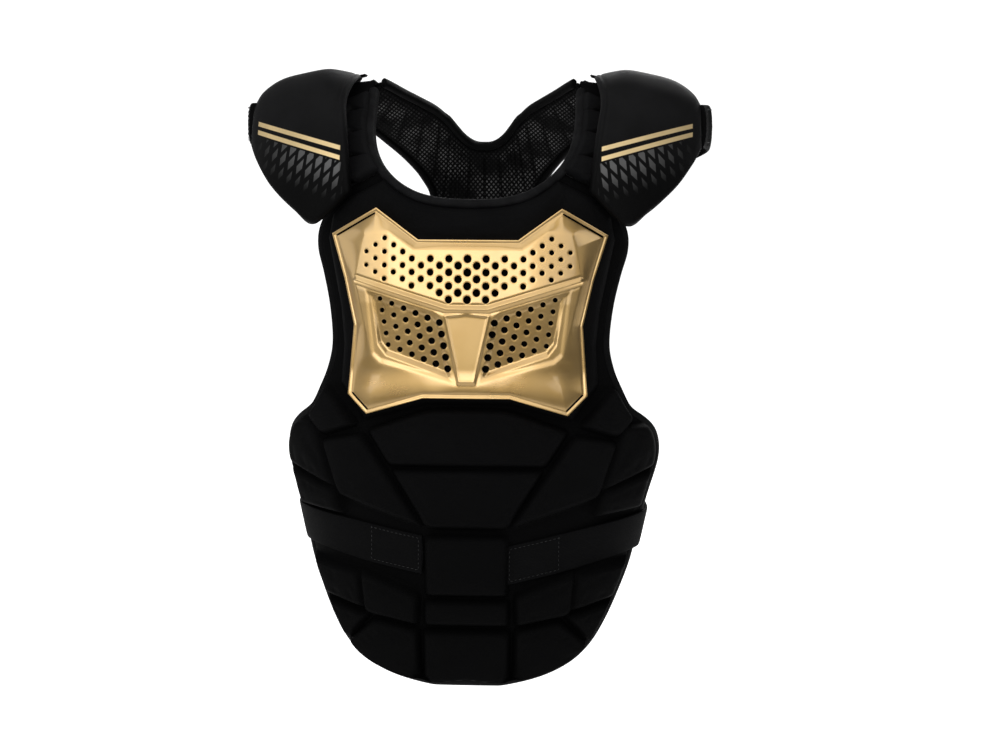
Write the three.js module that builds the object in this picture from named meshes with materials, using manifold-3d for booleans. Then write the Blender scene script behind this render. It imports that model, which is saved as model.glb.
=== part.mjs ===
// A goalkeeper's chest protector: a padded front with a pierced gold plate, ribbed shoulder straps,
// domed shoulder caps, a meshed back yoke, and elastic straps round the arms and the waist.
// Millimetres. +X is the wearer's left, -Y is the front and +Z is up. The origin is midway between the
// shoulders, at the height where the straps sit on them.
import * as THREE from "three";
import { mergeGeometries, mergeVertices } from "three/addons/utils/BufferGeometryUtils.js";
import Module from "manifold-3d";

const wasm = await Module();
wasm.setup();

// Clearance between pieces that are sewn or laid together
const GAP = 0.4;

// The wearer's form: level sections are superellipses, and the shoulders slope away front and back
const BODY = [
  { z: 60, halfWidth: 166, front: 92, back: 100 },
  { z: -100, halfWidth: 168, front: 97, back: 104 },
  { z: -200, halfWidth: 170, front: 104, back: 110 },
  { z: -345, halfWidth: 180, front: 111, back: 108 },
  { z: -440, halfWidth: 163, front: 111, back: 104 },
  { z: -500, halfWidth: 156, front: 106, back: 100 },
  { z: -580, halfWidth: 150, front: 96, back: 96 },
];
const SECTION_POWER = 2.4;
const SHOULDER = { height: 8, at: 100, fall: 0.35, innermost: 40, outermost: 150 };
const FRONT_SLOPE = { run: 125, power: 1.8 };
const BACK_SLOPE = { run: 100, power: 1.6 };

// The neck opening in the front, a superellipse open at the top
const NECK = { halfWidth: 97, centre: -20, depth: 83, power: 2.5 };

// Bound edges: a bar beside the edge that laps over both faces by its lip
const BINDING = { width: 8, gap: 0.9, lip: 1, shoulder: 6 };

// The front wall: its half width at each height, from the hem to the root of the shoulder straps
const OUTLINE = [
  { z: -564, edge: 33 },
  { z: -557, edge: 64 },
  { z: -544, edge: 92 },
  { z: -527, edge: 110.5 },
  { z: -504, edge: 124.5 },
  { z: -477, edge: 136.5 },
  { z: -449, edge: 147 },
  { z: -420, edge: 154 },
  { z: -385, edge: 163.5 },
  { z: -350, edge: 174 },
  { z: -328, edge: 171.5 },
  { z: -315, edge: 161 },
  { z: -305, edge: 148.5 },
  { z: -285, edge: 138.5 },
  { z: -265, edge: 130.5 },
  { z: -240, edge: 126 },
  { z: -205, edge: 129 },
  { z: -170, edge: 136 },
  { z: -140, edge: 142.5 },
  { z: -118, edge: 139.5 },
  { z: -97, edge: 121 },
];
const STRAP_ROOT = { inner: 84, outer: 121, outerHeight: -97 };
const TOP_FOLLOWS_NECK_FROM = -215;
const WALL_COLUMNS = [0.2, 0.4, 0.6, 0.74, 0.87, 1];
const BACKING = 7;

// The foam blocks stand on the front wall, with sloping sides. Corners are (x, z) on the wearer's left.
const FOAM_TOP = 20;
const BLOCK_DRAFT = 0.25;
const BLOCK_CUT = { below: 6, above: 3, sag: 0.12 };
const CENTRE_BLOCKS = [
  { corners: [[37, -303], [92, -323], [73, -354]] },
  { corners: [[69, -361], [37, -413]] },
  { corners: [[37, -424], [37, -478]] },
  { corners: [[38, -486], [38, -507]] },
  { corners: [[39, -515], [37, -554]] },
];
const SIDE_BLOCKS = [
  { name: "armpit_block", corners: [[131, -289], [146, -316], [136, -327], [109, -317]] },
  { name: "rib_block", corners: [[101, -328], [137, -335], [121, -384], [45, -411]] },
  { name: "flank_block_upper", corners: [[147, -320], [165, -326], [168, -356], [127, -377]] },
  { name: "flank_block_lower", corners: [[165, -362], [156, -394], [121, -402], [126, -382]] },
  { name: "waist_block", corners: [[99, -459], [95, -497], [48, -507], [47, -480]] },
  { name: "waist_block_outer", corners: [[136, -453], [125, -485], [98, -493], [102, -460]] },
  { name: "hip_block", corners: [[119, -494], [105, -520], [95, -501]] },
  { name: "hem_block", corners: [[86, -505], [101, -528], [78, -544], [46, -553], [47, -514]] },
];

// The chest area that carries the plate, down its left side from the neck to the middle of its lower edge
const CHEST_SIDE = [
  [116, -102],
  [131, -118],
  [135, -140],
  [122, -205],
  [118.5, -240],
  [121, -278],
  [98, -311],
  [40, -295],
];
const CHEST_NECK = { inset: 6, outermost: 82, steps: 6 };

// The chest plate: half widths, and the heights of its lower edge, its middle ridge and its upper edge
const PLATE_SIDE = [
  { at: 0, edge: 114 },
  { at: 0.3, edge: 109 },
  { at: 0.5, edge: 119 },
  { at: 1, edge: 132 },
];
const PLATE_LOWER = [
  { at: 0, z: -289.5 },
  { at: 0.36, z: -289.5 },
  { at: 0.84, z: -305.5 },
  { at: 1, z: -287 },
];
const PLATE_RIDGE = [
  { at: 0, z: -205 },
  { at: 0.13, z: -205 },
  { at: 1, z: -177 },
];
const PLATE_UPPER = [
  { at: 0, z: -140 },
  { at: 0.36, z: -140 },
  { at: 0.67, z: -110 },
  { at: 1, z: -135 },
];
const PLATE_COLUMNS = [0.13, 0.36, 0.52, 0.67, 0.84, 0.965, 1];
const PLATE_ROWS = [0, 0.025, 0.1, 0.2, 0.4, 0.46, 0.5, 0.54, 0.62, 0.85, 0.97, 1];
const PLATE = { wall: 2.5, rise: 11, ridge: 3, panelDrop: 3 };
const RIDGE = { row: 0.5, half: 0.02 };
const PEAK = { upper: 0.67, lower: 0.84 };
const RIM = { side: 0.965, lower: 0.025, upper: 0.97 };
const FIELD = { side: 0.84, lower: 0.1, upper: 0.85 };
const LOWER_PANEL = { inner: 0.2, outer: 0.76, low: 0.15, high: 0.43 };

// Its holes: rows in the upper field, and slanting columns in the two lower panels
const UPPER_HOLES = {
  pitch: 17.6,
  rowPitch: 6.4,
  top: -158,
  perRow: [7, 8, 7, 6, 5, 4, 3],
  wing: { rows: 3, columns: 2, first: 61.6, rise: 6.4 },
};
const LOWER_HOLES = { first: [26, -218], across: [11.4, 4.4], down: [-2, -10.9], columns: 6, rows: 5 };
const HOLE = { largest: 3.6, smallest: 1.9, fade: 110, sides: 6 };
const SLOT = { width: 3.5, inset: 6, lengths: { upper: 34, lower: 16 } };
const CUT = { depth: 120, middle: -130 };

// The ribbed shoulder straps and the bands that carry on over the shoulders
const STRAP = { rootGap: 0.7, topOuter: 129, belowCrest: 6, foam: 11, tongue: 6, tongueFrom: 0.82 };
const RIB = { height: 5, count: 5, last: 0.78, groove: 0.05, crown: [0.25, 0.75] };
const LINK = { inner: 101, outer: 138, thickness: 4, clearance: 0.9, innerRise: 10 };
const LINK_ENDS = { tongue: 0.84, yoke: 0.9, yokeInner: 0.85, yokeOuter: 0.1 };
const LINK_CREST = { front: -10, back: 3 };
const LINK_LEANS = [-0.8, -0.7, -0.4, 0.1, 0.6, 0.7];

// The shoulder caps: arched sections from the neck side outwards, each from its front hem over its crest
// to its back hem
const CAP_SECTIONS = [
  { crest: [128, -8, 26], front: [113, -110, -95], back: [118, 58, -20] },
  { crest: [147, -8, 27], front: [149, -111, -126], back: [142, 62, -22] },
  { crest: [172, -8, 23.5], front: [173, -100, -113], back: [167, 57, -20] },
  { crest: [196, -8, 16], front: [197, -81, -91], back: [191, 42, -14] },
  { crest: [213, -8, 4], front: [213, -58, -69], back: [209, 24, -10] },
  { crest: [222, -8, -12], front: [222, -38, -52], back: [220, 8, -16] },
];
const CAP_ARCH = { power: 2, steps: 6 };
const CAP_THICKNESS = 12;
const TAB = { inner: 112, outer: 126.5, front: -12, back: 6, rise: 6, thickness: 2.5 };

// The elastic straps
const ARM_STRAP = { width: 42, thickness: 2.5 };
const ARM_STRAP_ROUTE = [
  [224, -24, -29],
  [227, -6, -28],
  [231, 12, -28],
  [228, 38, -32],
  [208, 66, -42],
  [176, 81, -56],
  [144, 73, -74],
  [122, 42, -90],
  [117, 4, -98],
  [127, -32, -97],
  [149, -64, -93],
  [172, -80, -90],
];
const WAIST_STRAP = { width: 37, thickness: 3, clearance: 1.4, backEnd: 22, steps: 24 };
const WAIST_LIFT = { size: 4.2, from: 0.15, to: 0.3 };
const WAIST_TUCK = { size: 20, from: 0.36, to: 0.56 };
const WAIST_STRAP_SIDES = {
  left: { frontEnd: 42, frontHeight: -450, slope: 0.2 },
  right: { frontEnd: 47, frontHeight: -440, slope: 0.175 },
};

// The back yoke, from the middle of the back to the shoulder: its upper and lower edge as (x, z)
const YOKE_SECTIONS = [
  { upper: [0, -49], lower: [0, -394] },
  { upper: [8, -45], lower: [30, -394] },
  { upper: [15, -39], lower: [43, -386] },
  { upper: [22, -31], lower: [45, -260] },
  { upper: [28, -24], lower: [47, -155] },
  { upper: [36, -16], lower: [53, -101] },
  { upper: [46, -9], lower: [62, -80] },
  { upper: [60, -3], lower: [80, -59] },
  { upper: [74, 1], lower: [99, -41] },
  { upper: [86, 4], lower: [117, -24] },
  { upper: [95, 4], lower: [132, -6] },
];
const YOKE = { thickness: 9, rows: [0, 0.4, 0.68, 0.84, 0.93, 1] };

// Finishes
const BLACK_FABRIC = { color: 0x17171a, roughness: 0.85, metalness: 0 };
const BLACK_FOAM_CLOTH = { color: 0x1d1d20, roughness: 0.75, metalness: 0 };
const BLACK_BINDING = { color: 0x0f0f11, roughness: 0.7, metalness: 0 };
const BLACK_ELASTIC = { color: 0x141416, roughness: 0.8, metalness: 0 };
const BLACK_MESH = { color: 0x1b1b1e, roughness: 0.9, metalness: 0 };
const GOLD_PLASTIC = { color: 0xd8b878, roughness: 0.3, metalness: 0.6 };

const protector = new THREE.Group();

// Adds one named piece, mirrored to the wearer's right where asked
function addPiece(name, geometry, finish, mirrored = false) {
  const mesh = new THREE.Mesh(geometry, new THREE.MeshStandardMaterial(finish));
  mesh.name = name;
  mesh.scale.x = mirrored ? -1 : 1;
  protector.add(mesh);
}

// A column of a table read between its rows, in straight steps
function readStraight(table, key, at, column) {
  const next = table.findIndex((row) => row[key] >= at);
  if (next === 0) return table[0][column];
  if (next < 0) return table[table.length - 1][column];
  const [low, high] = [table[next - 1], table[next]];
  return THREE.MathUtils.mapLinear(at, low[key], high[key], low[column], high[column]);
}

// A column of the body table read at a height, on a smooth curve through its rows
function readBody(z, column) {
  const curve = bodyCurves[column];
  const last = BODY.length - 1;
  const below = Math.max(1, BODY.findIndex((row) => row.z <= z));
  const share = THREE.MathUtils.mapLinear(z, BODY[below - 1].z, BODY[below].z, below - 1, below);
  return curve.getPoint(THREE.MathUtils.clamp(share / last, 0, 1)).y;
}
const bodyCurves = Object.fromEntries(
  ["halfWidth", "front", "back"].map((column) => [
    column,
    new THREE.SplineCurve(BODY.map((row, index) => new THREE.Vector2(index, row[column]))),
  ]),
);

// Height of the shoulder line, which falls outwards
function shoulderHeight(x) {
  const reach = THREE.MathUtils.clamp(Math.abs(x), SHOULDER.innermost, SHOULDER.outermost);
  return SHOULDER.height - SHOULDER.fall * (reach - SHOULDER.at);
}

// How much of its full depth the body has reached below the shoulder line, from 0 to 1
function shoulderFade(x, z, slope) {
  const drop = THREE.MathUtils.clamp((shoulderHeight(x) - z) / slope.run, 0, 1);
  return 1 - (1 - drop) ** slope.power;
}

// Y of the body's front or back at (x, z), grown by an even offset
function bodyDepth(x, z, column, slope, offset) {
  const across = Math.min(Math.abs(x) / (readBody(z, "halfWidth") + offset), 1);
  const round = (1 - across ** SECTION_POWER) ** (1 / SECTION_POWER);
  return (readBody(z, column) + offset) * round * shoulderFade(x, z, slope);
}

function frontPoint(x, z, offset = 0) {
  return new THREE.Vector3(x, -bodyDepth(x, z, "front", FRONT_SLOPE, offset), z);
}

function backPoint(x, z, offset = 0) {
  return new THREE.Vector3(x, bodyDepth(x, z, "back", BACK_SLOPE, offset), z);
}

// The same sheet moved along its normals. A sheet gives a point for (u, v), and its normals face u cross v.
function offsetSheet(sheet, distance) {
  const step = 1e-3;
  return (u, v) => {
    const alongU = sheet(u + step, v).sub(sheet(u - step, v));
    const alongV = sheet(u, v + step).sub(sheet(u, v - step));
    const size = typeof distance === "function" ? distance(u, v) : distance;
    return sheet(u, v).addScaledVector(alongU.cross(alongV).normalize(), size);
  };
}

// A closed geometry from points and triangles, turned so that its faces point outwards
function closedGeometry(points, triangles) {
  const volume = triangles.reduce((sum, [a, b, c]) => {
    const turned = new THREE.Vector3().crossVectors(points[b], points[c]);
    return sum + points[a].dot(turned);
  }, 0);
  const index = triangles.flatMap(([a, b, c]) => (volume < 0 ? [a, c, b] : [a, b, c]));
  return new THREE.BufferGeometry().setFromPoints(points).setIndex(index);
}

// A wall between two sheets that share one grid, closed round its rim. Its quads are split alike on both
// sides of u = 0, along one diagonal or the other.
function wall(us, vs, outer, inner, otherWay = false) {
  const sample = (sheet) => vs.flatMap((v) => us.map((u) => sheet(u, v)));
  const points = [...sample(outer), ...sample(inner)];
  const far = us.length * vs.length;
  const at = (column, row) => row * us.length + column;
  const triangles = [];
  const quad = (a, b, c, d) => triangles.push([a, b, c], [a, c, d]);
  for (let row = 0; row + 1 < vs.length; row += 1) {
    for (let column = 0; column + 1 < us.length; column += 1) {
      const ring = [at(column, row), at(column + 1, row), at(column + 1, row + 1), at(column, row + 1)];
      const turned = us[column] < 0 !== otherWay;
      const [a, b, c, d] = turned ? [ring[1], ring[2], ring[3], ring[0]] : ring;
      quad(a, b, c, d);
      quad(far + a, far + d, far + c, far + b);
    }
  }
  const rim = rimOf(us.length, vs.length).map(([column, row]) => at(column, row));
  rim.forEach((from, step) => {
    const to = rim[(step + 1) % rim.length];
    quad(to, from, far + from, far + to);
  });
  return closedGeometry(points, triangles);
}

// The rim of a grid as [column, row] pairs, once round
function rimOf(columns, rows) {
  const across = Array.from({ length: columns - 1 }, (_, step) => step);
  const along = Array.from({ length: rows - 1 }, (_, step) => step);
  return [
    ...across.map((step) => [step, 0]),
    ...along.map((step) => [columns - 1, step]),
    ...across.map((step) => [columns - 1 - step, rows - 1]),
    ...along.map((step) => [0, rows - 1 - step]),
  ];
}

// A bar through rings of equal size, closed by a fan at each end
function barThrough(rings) {
  const sides = rings[0].length;
  const points = rings.flat();
  const triangles = [];
  for (let ring = 0; ring + 1 < rings.length; ring += 1) {
    for (let side = 0; side < sides; side += 1) {
      const a = ring * sides + side;
      const b = ring * sides + ((side + 1) % sides);
      triangles.push([a, b, b + sides], [a, b + sides, a + sides]);
    }
  }
  const last = (rings.length - 1) * sides;
  for (let side = 1; side + 1 < sides; side += 1) {
    triangles.push([0, side + 1, side], [last, last + side, last + side + 1]);
  }
  return closedGeometry(points, triangles);
}

// A bound edge: a rounded bar beside an edge. Each station has a point, the way out of the sheet and its
// normal.
function binding(stations, thickness) {
  const section = [
    [BINDING.gap, -BINDING.lip],
    [BINDING.gap, thickness + BINDING.lip],
    [BINDING.shoulder, thickness + BINDING.lip],
    [BINDING.width, thickness / 2],
    [BINDING.shoulder, -BINDING.lip],
  ];
  return barThrough(
    stations.map(({ point, out, normal }) =>
      section.map(([away, up]) => point.clone().addScaledVector(out, away).addScaledVector(normal, up)),
    ),
  );
}

// Stations along an edge from its points and the normals there; the way out is to one side of the edge
function edgeStations(points, normals, side) {
  return points.map((point, index) => {
    const before = points[Math.max(index - 1, 0)];
    const after = points[Math.min(index + 1, points.length - 1)];
    const along = after.clone().sub(before).normalize();
    const out = along.clone().cross(normals[index]).normalize().multiplyScalar(side);
    return { point, out, normal: normals[index] };
  });
}

function normalAt(sheet) {
  const lifted = offsetSheet(sheet, 1);
  return (u, v) => lifted(u, v).sub(sheet(u, v)).normalize();
}

// Solids for cutting and joining, and back
function toSolid(geometry) {
  const bare = geometry.clone();
  bare.deleteAttribute("normal");
  bare.deleteAttribute("uv");
  const merged = mergeVertices(bare);
  const vertProperties = new Float32Array(merged.attributes.position.array);
  const triVerts = new Uint32Array(merged.index.array);
  return new wasm.Manifold(new wasm.Mesh({ numProp: 3, vertProperties, triVerts }));
}

function toGeometry(solid) {
  const mesh = solid.getMesh();
  return new THREE.BufferGeometry()
    .setAttribute("position", new THREE.BufferAttribute(new Float32Array(mesh.vertProperties), 3))
    .setIndex(new THREE.BufferAttribute(new Uint32Array(mesh.triVerts), 1));
}

// A prism from the front straight back through an (x, z) outline
function frontPrism(outline) {
  const shape = new THREE.Shape(outline.map(([x, z]) => new THREE.Vector2(x, z)));
  const depth = CUT.depth / 2 - CUT.middle;
  return new THREE.ExtrudeGeometry(shape, { depth, bevelEnabled: false }).rotateX(Math.PI / 2);
}

const mirroredX = (points) => points.map(([x, z]) => [-x, z]);
const bothSides = (steps) => [...steps.map((step) => -step).reverse(), 0, ...steps];
const steps = (count) => Array.from({ length: count + 1 }, (_, index) => index / count);

// X of the neck opening's sewn edge at a height, and its height at an x
const neckEdge = {
  halfWidth: NECK.halfWidth + BINDING.width / 2,
  depth: NECK.depth + BINDING.width / 2,
};

function neckWidth(z) {
  const down = THREE.MathUtils.clamp((NECK.centre - z) / neckEdge.depth, 0, 1);
  return neckEdge.halfWidth * (1 - down ** NECK.power) ** (1 / NECK.power);
}

function neckHeight(x) {
  const across = Math.min(Math.abs(x) / neckEdge.halfWidth, 1);
  return NECK.centre - neckEdge.depth * (1 - across ** NECK.power) ** (1 / NECK.power);
}

// The upper edge of the front wall: the neck, then the straight root of the shoulder strap
function wallTop(x) {
  const reach = Math.abs(x);
  if (reach <= STRAP_ROOT.inner) return neckHeight(reach);
  const { inner, outer, outerHeight } = STRAP_ROOT;
  return THREE.MathUtils.mapLinear(reach, inner, outer, neckHeight(inner), outerHeight);
}

// The inner face of the front wall: u runs from edge to edge, v from the hem to the top by outline rows
function torsoSheet(u, v) {
  const lastRow = OUTLINE.length - 1;
  const row = THREE.MathUtils.clamp(v * lastRow, 0, lastRow);
  const low = Math.min(Math.floor(row), lastRow - 1);
  const share = row - low;
  const rowHeight = THREE.MathUtils.lerp(OUTLINE[low].z, OUTLINE[low + 1].z, share);
  const edge = THREE.MathUtils.lerp(OUTLINE[low].edge, OUTLINE[low + 1].edge, share);
  const halfWidth = readBody(rowHeight, "halfWidth");
  const edgeAngle = Math.asin((edge / halfWidth) ** (SECTION_POWER / 2));
  const reach = Math.abs(Math.sin(u * edgeAngle)) ** (2 / SECTION_POWER);
  const x = Math.sign(u) * halfWidth * reach;
  const follows = THREE.MathUtils.smoothstep(rowHeight, TOP_FOLLOWS_NECK_FROM, STRAP_ROOT.outerHeight);
  const z = rowHeight + follows * (wallTop(x) - STRAP_ROOT.outerHeight);
  return frontPoint(x, z);
}

const wallColumns = bothSides(WALL_COLUMNS);
const wallRows = steps(OUTLINE.length - 1);
const torsoOuter = offsetSheet(torsoSheet, BACKING);

function addTorso() {
  addPiece("torso_backing", wall(wallColumns, wallRows, torsoOuter, torsoSheet), BLACK_FABRIC);
  const normal = normalAt(torsoSheet);
  const rim = [
    ...[...wallRows].reverse().map((v) => [-1, v]),
    ...wallColumns.slice(1, -1).map((u) => [u, 0]),
    ...wallRows.map((v) => [1, v]),
  ];
  const stations = edgeStations(
    rim.map(([u, v]) => torsoSheet(u, v)),
    rim.map(([u, v]) => normal(u, v)),
    1,
  );
  addPiece("edge_binding", binding(stations, BACKING), BLACK_BINDING);
}

// Moves the edges of a convex outline inwards
function inset(outline, distance) {
  const turn = Math.sign(THREE.ShapeUtils.area(outline));
  const inward = (from, to) =>
    new THREE.Vector2(from.y - to.y, to.x - from.x).normalize().multiplyScalar(turn);
  return outline.map((corner, index) => {
    const before = outline[(index + outline.length - 1) % outline.length];
    const after = outline[(index + 1) % outline.length];
    const [first, second] = [inward(before, corner), inward(corner, after)];
    const middle = first.clone().add(second).normalize();
    return corner.clone().addScaledVector(middle, distance / middle.dot(first));
  });
}

// A cutter with sloping sides over an (x, z) outline, square to the front wall at the outline's middle
function blockCutter(corners) {
  const mean = (axis) => corners.reduce((sum, corner) => sum + corner[axis], 0) / corners.length;
  const [x, z] = [mean(0), mean(1)];
  const base = BACKING + GAP;
  const place = (right, up) => frontPoint(x + right, z + up, base);
  const ahead = place(1, 0).sub(place(-1, 0)).normalize();
  const upward = place(0, 1).sub(place(0, -1)).normalize();
  const outward = ahead.clone().cross(upward).normalize();
  const flat = corners.map((corner) => {
    const from = frontPoint(...corner, base).sub(place(0, 0));
    return new THREE.Vector2(from.dot(ahead), from.dot(upward));
  });
  const sag = BLOCK_CUT.sag * Math.max(...flat.map((corner) => corner.length()));
  const heights = [-BLOCK_CUT.below - 3 * sag, FOAM_TOP - base + BLOCK_CUT.above + sag];
  const rings = heights.map((height) =>
    inset(flat, BLOCK_DRAFT * height).map((corner) =>
      place(0, 0)
        .addScaledVector(ahead, corner.x)
        .addScaledVector(upward, corner.y)
        .addScaledVector(outward, height),
    ),
  );
  return barThrough(rings);
}

function addFoam() {
  const bottom = offsetSheet(torsoSheet, BACKING + GAP);
  const top = offsetSheet(torsoSheet, FOAM_TOP);
  const layer = toSolid(wall(wallColumns, wallRows, top, bottom));
  const cut = (cutter) => toGeometry(layer.intersect(toSolid(cutter)));
  CENTRE_BLOCKS.forEach(({ corners }, index) => {
    const outline = [...corners, ...mirroredX(corners).reverse()];
    addPiece(`belly_block_${index + 1}`, cut(blockCutter(outline)), BLACK_FOAM_CLOTH);
  });
  SIDE_BLOCKS.forEach(({ name, corners }) => {
    addPiece(`${name}_left`, cut(blockCutter(corners)), BLACK_FOAM_CLOTH);
    addPiece(`${name}_right`, cut(blockCutter(mirroredX(corners))), BLACK_FOAM_CLOTH);
  });
  const neckline = steps(CHEST_NECK.steps).map((share) => {
    const x = share * CHEST_NECK.outermost;
    return [x, neckHeight(x) - CHEST_NECK.inset];
  });
  const half = [...neckline.slice(1), ...CHEST_SIDE];
  const outline = [neckline[0], ...half, ...mirroredX(half).reverse()];
  addPiece("chest_block", cut(frontPrism(outline)), BLACK_FOAM_CLOTH);
}

// How far a place on the plate is from its rim to its field, from 0 to 1
function plateField(u, v) {
  const ramp = (value, from, to) => THREE.MathUtils.clamp((value - from) / (to - from), 0, 1);
  const side = ramp(Math.abs(u), RIM.side, FIELD.side);
  const lower = ramp(v, RIM.lower, FIELD.lower);
  const upper = ramp(v, RIM.upper, FIELD.upper);
  return Math.min(side, lower, upper);
}

// Height of the plate's relief above its rim: a raised field, a V ridge across it and two sunk panels
function plateRelief(u, v) {
  const reach = Math.abs(u);
  const onRidge = Math.abs(v - RIDGE.row) < RIDGE.half && reach <= FIELD.side;
  const acrossPanel = reach > LOWER_PANEL.inner && reach < LOWER_PANEL.outer;
  const inPanel = acrossPanel && v > LOWER_PANEL.low && v < LOWER_PANEL.high;
  return PLATE.rise * plateField(u, v) + (onRidge ? PLATE.ridge : 0) - (inPanel ? PLATE.panelDrop : 0);
}

function platePlace(u, v) {
  const reach = Math.abs(u);
  const x = u * readStraight(PLATE_SIDE, "at", v, "edge");
  const lower = readStraight(PLATE_LOWER, "at", reach, "z");
  const ridge = readStraight(PLATE_RIDGE, "at", reach, "z");
  const upper = readStraight(PLATE_UPPER, "at", reach, "z");
  const above = v > RIDGE.row;
  const [from, to] = above ? [ridge, upper] : [lower, ridge];
  const share = above ? (v - RIDGE.row) / (1 - RIDGE.row) : v / RIDGE.row;
  return [x, THREE.MathUtils.lerp(from, to, share)];
}

// Middles of the plate's holes on one side and the middle line, as (x, z)
function holePlaces() {
  const places = [];
  UPPER_HOLES.perRow.forEach((count, row) => {
    for (let hole = 0; hole < count; hole += 1) {
      const x = (hole - (count - 1) / 2) * UPPER_HOLES.pitch;
      places.push([x, UPPER_HOLES.top - row * UPPER_HOLES.rowPitch]);
    }
  });
  const { rows, columns, first, rise } = UPPER_HOLES.wing;
  const { first: start, across, down } = LOWER_HOLES;
  [-1, 1].forEach((side) => {
    for (let row = 0; row < rows; row += 1) {
      for (let column = 0; column < columns; column += 1) {
        const x = first + (column + row / 2) * UPPER_HOLES.pitch;
        places.push([side * x, UPPER_HOLES.top + rise * (1 + column - row)]);
      }
    }
    for (let column = 0; column < LOWER_HOLES.columns; column += 1) {
      for (let row = 0; row < LOWER_HOLES.rows; row += 1) {
        const x = start[0] + column * across[0] + row * down[0];
        places.push([side * x, start[1] + column * across[1] + row * down[1]]);
      }
    }
  });
  return places;
}

function holeCutter([x, z]) {
  const fade = Math.min(Math.abs(x) / HOLE.fade, 1);
  const radius = THREE.MathUtils.lerp(HOLE.largest, HOLE.smallest, fade);
  return new THREE.CylinderGeometry(radius, radius, CUT.depth, HOLE.sides).translate(x, CUT.middle, z);
}

// A slot beside a slanting stretch of the plate's edge, given by its two ends
function slotCutter(from, to, length) {
  const middle = [(from[0] + to[0]) / 2, (from[1] + to[1]) / 2];
  const angle = Math.atan2(to[1] - from[1], to[0] - from[0]);
  return new THREE.BoxGeometry(length, CUT.depth, SLOT.width)
    .translate(0, 0, -SLOT.inset)
    .rotateY(-angle)
    .translate(middle[0], CUT.middle, middle[1]);
}

function addPlate() {
  const seat = FOAM_TOP + 2 * GAP;
  const sheet = (lift) => (u, v) => frontPoint(...platePlace(u, v), seat + plateRelief(u, v) + lift);
  const shell = wall(bothSides(PLATE_COLUMNS), PLATE_ROWS, sheet(PLATE.wall), sheet(0));
  const slots = [1, -1].flatMap((side) => {
    const upper = [platePlace(PEAK.upper * side, 1), platePlace(side, 1)];
    const lower = [platePlace(side, 0), platePlace(PEAK.lower * side, 0)];
    const inOrder = (ends) => (side > 0 ? ends : ends.reverse());
    return [
      slotCutter(...inOrder(upper), SLOT.lengths.upper),
      slotCutter(...inOrder(lower), SLOT.lengths.lower),
    ];
  });
  const holes = mergeGeometries(holePlaces().map(holeCutter));
  const pierced = toSolid(shell).subtract(toSolid(holes)).subtract(toSolid(mergeGeometries(slots)));
  addPiece("chest_plate", toGeometry(pierced), GOLD_PLASTIC);
}

// The inner face of a shoulder strap: u runs from the neck outwards, v from its root up to the shoulder
function strapSheet(u, v) {
  const rootX = THREE.MathUtils.lerp(STRAP_ROOT.inner, STRAP_ROOT.outer, u);
  const rootZ = wallTop(rootX) + STRAP.rootGap;
  const outerX = THREE.MathUtils.lerp(STRAP_ROOT.outer, STRAP.topOuter, v);
  const topX = THREE.MathUtils.lerp(neckEdge.halfWidth, STRAP.topOuter, u);
  const z = THREE.MathUtils.lerp(rootZ, shoulderHeight(topX) - STRAP.belowCrest, v);
  const innerX = neckWidth(Math.max(z, wallTop(STRAP_ROOT.inner)));
  return frontPoint(THREE.MathUtils.lerp(innerX, outerX, u), z);
}

const ribLength = RIB.last / RIB.count;
const grooves = steps(RIB.count).map((share) => share * RIB.last);

function strapThickness(u, v) {
  if (v >= STRAP.tongueFrom) return STRAP.tongue;
  const place = (v / ribLength) % 1;
  const inGroove = Math.min(place, 1 - place) < RIB.groove;
  return inGroove ? STRAP.foam : STRAP.foam + RIB.height;
}

const strapRows = [
  ...grooves.slice(0, -1).flatMap((groove) => [0, ...RIB.crown].map((share) => groove + share * ribLength)),
  RIB.last,
  STRAP.tongueFrom,
  1,
];
const strapColumns = steps(3);

function addStraps() {
  const outer = offsetSheet(strapSheet, strapThickness);
  const strap = wall(strapColumns, strapRows, outer, strapSheet);
  addPiece("shoulder_strap_left", strap, BLACK_FOAM_CLOTH);
  addPiece("shoulder_strap_right", strap, BLACK_FOAM_CLOTH, true);
}

// The rolled edge of the neck, up the straps and round the neckline between them
function addNeckBinding() {
  const strapNormal = normalAt(strapSheet);
  const wallNormal = normalAt(torsoSheet);
  const strapStops = strapRows.filter((row, index) => index % 3 === 0);
  const neckColumns = wallColumns.filter((u) => Math.abs(u) < 0.5);
  const left = strapStops.map((v) => ({ point: strapSheet(0, v), normal: strapNormal(0, v) }));
  const flip = (vector) => vector.clone().setX(-vector.x);
  const right = left.map(({ point, normal }) => ({ point: flip(point), normal: flip(normal) }));
  const middle = neckColumns.map((u) => ({ point: torsoSheet(u, 1), normal: wallNormal(u, 1) }));
  const path = [...right.reverse(), ...middle, ...left];
  const stations = edgeStations(
    path.map(({ point }) => point),
    path.map(({ normal }) => normal),
    -1,
  );
  addPiece("neck_binding", binding(stations, STRAP.foam), BLACK_BINDING);
}

// A place along a cap's sections, for v from the neck side outwards
function capSection(v, end) {
  const curve = capCurves[end];
  return curve.getPoint(THREE.MathUtils.clamp(v, 0, 1));
}
const capCurves = Object.fromEntries(
  ["crest", "front", "back"].map((end) => [
    end,
    new THREE.CatmullRomCurve3(CAP_SECTIONS.map((section) => new THREE.Vector3(...section[end]))),
  ]),
);

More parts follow.
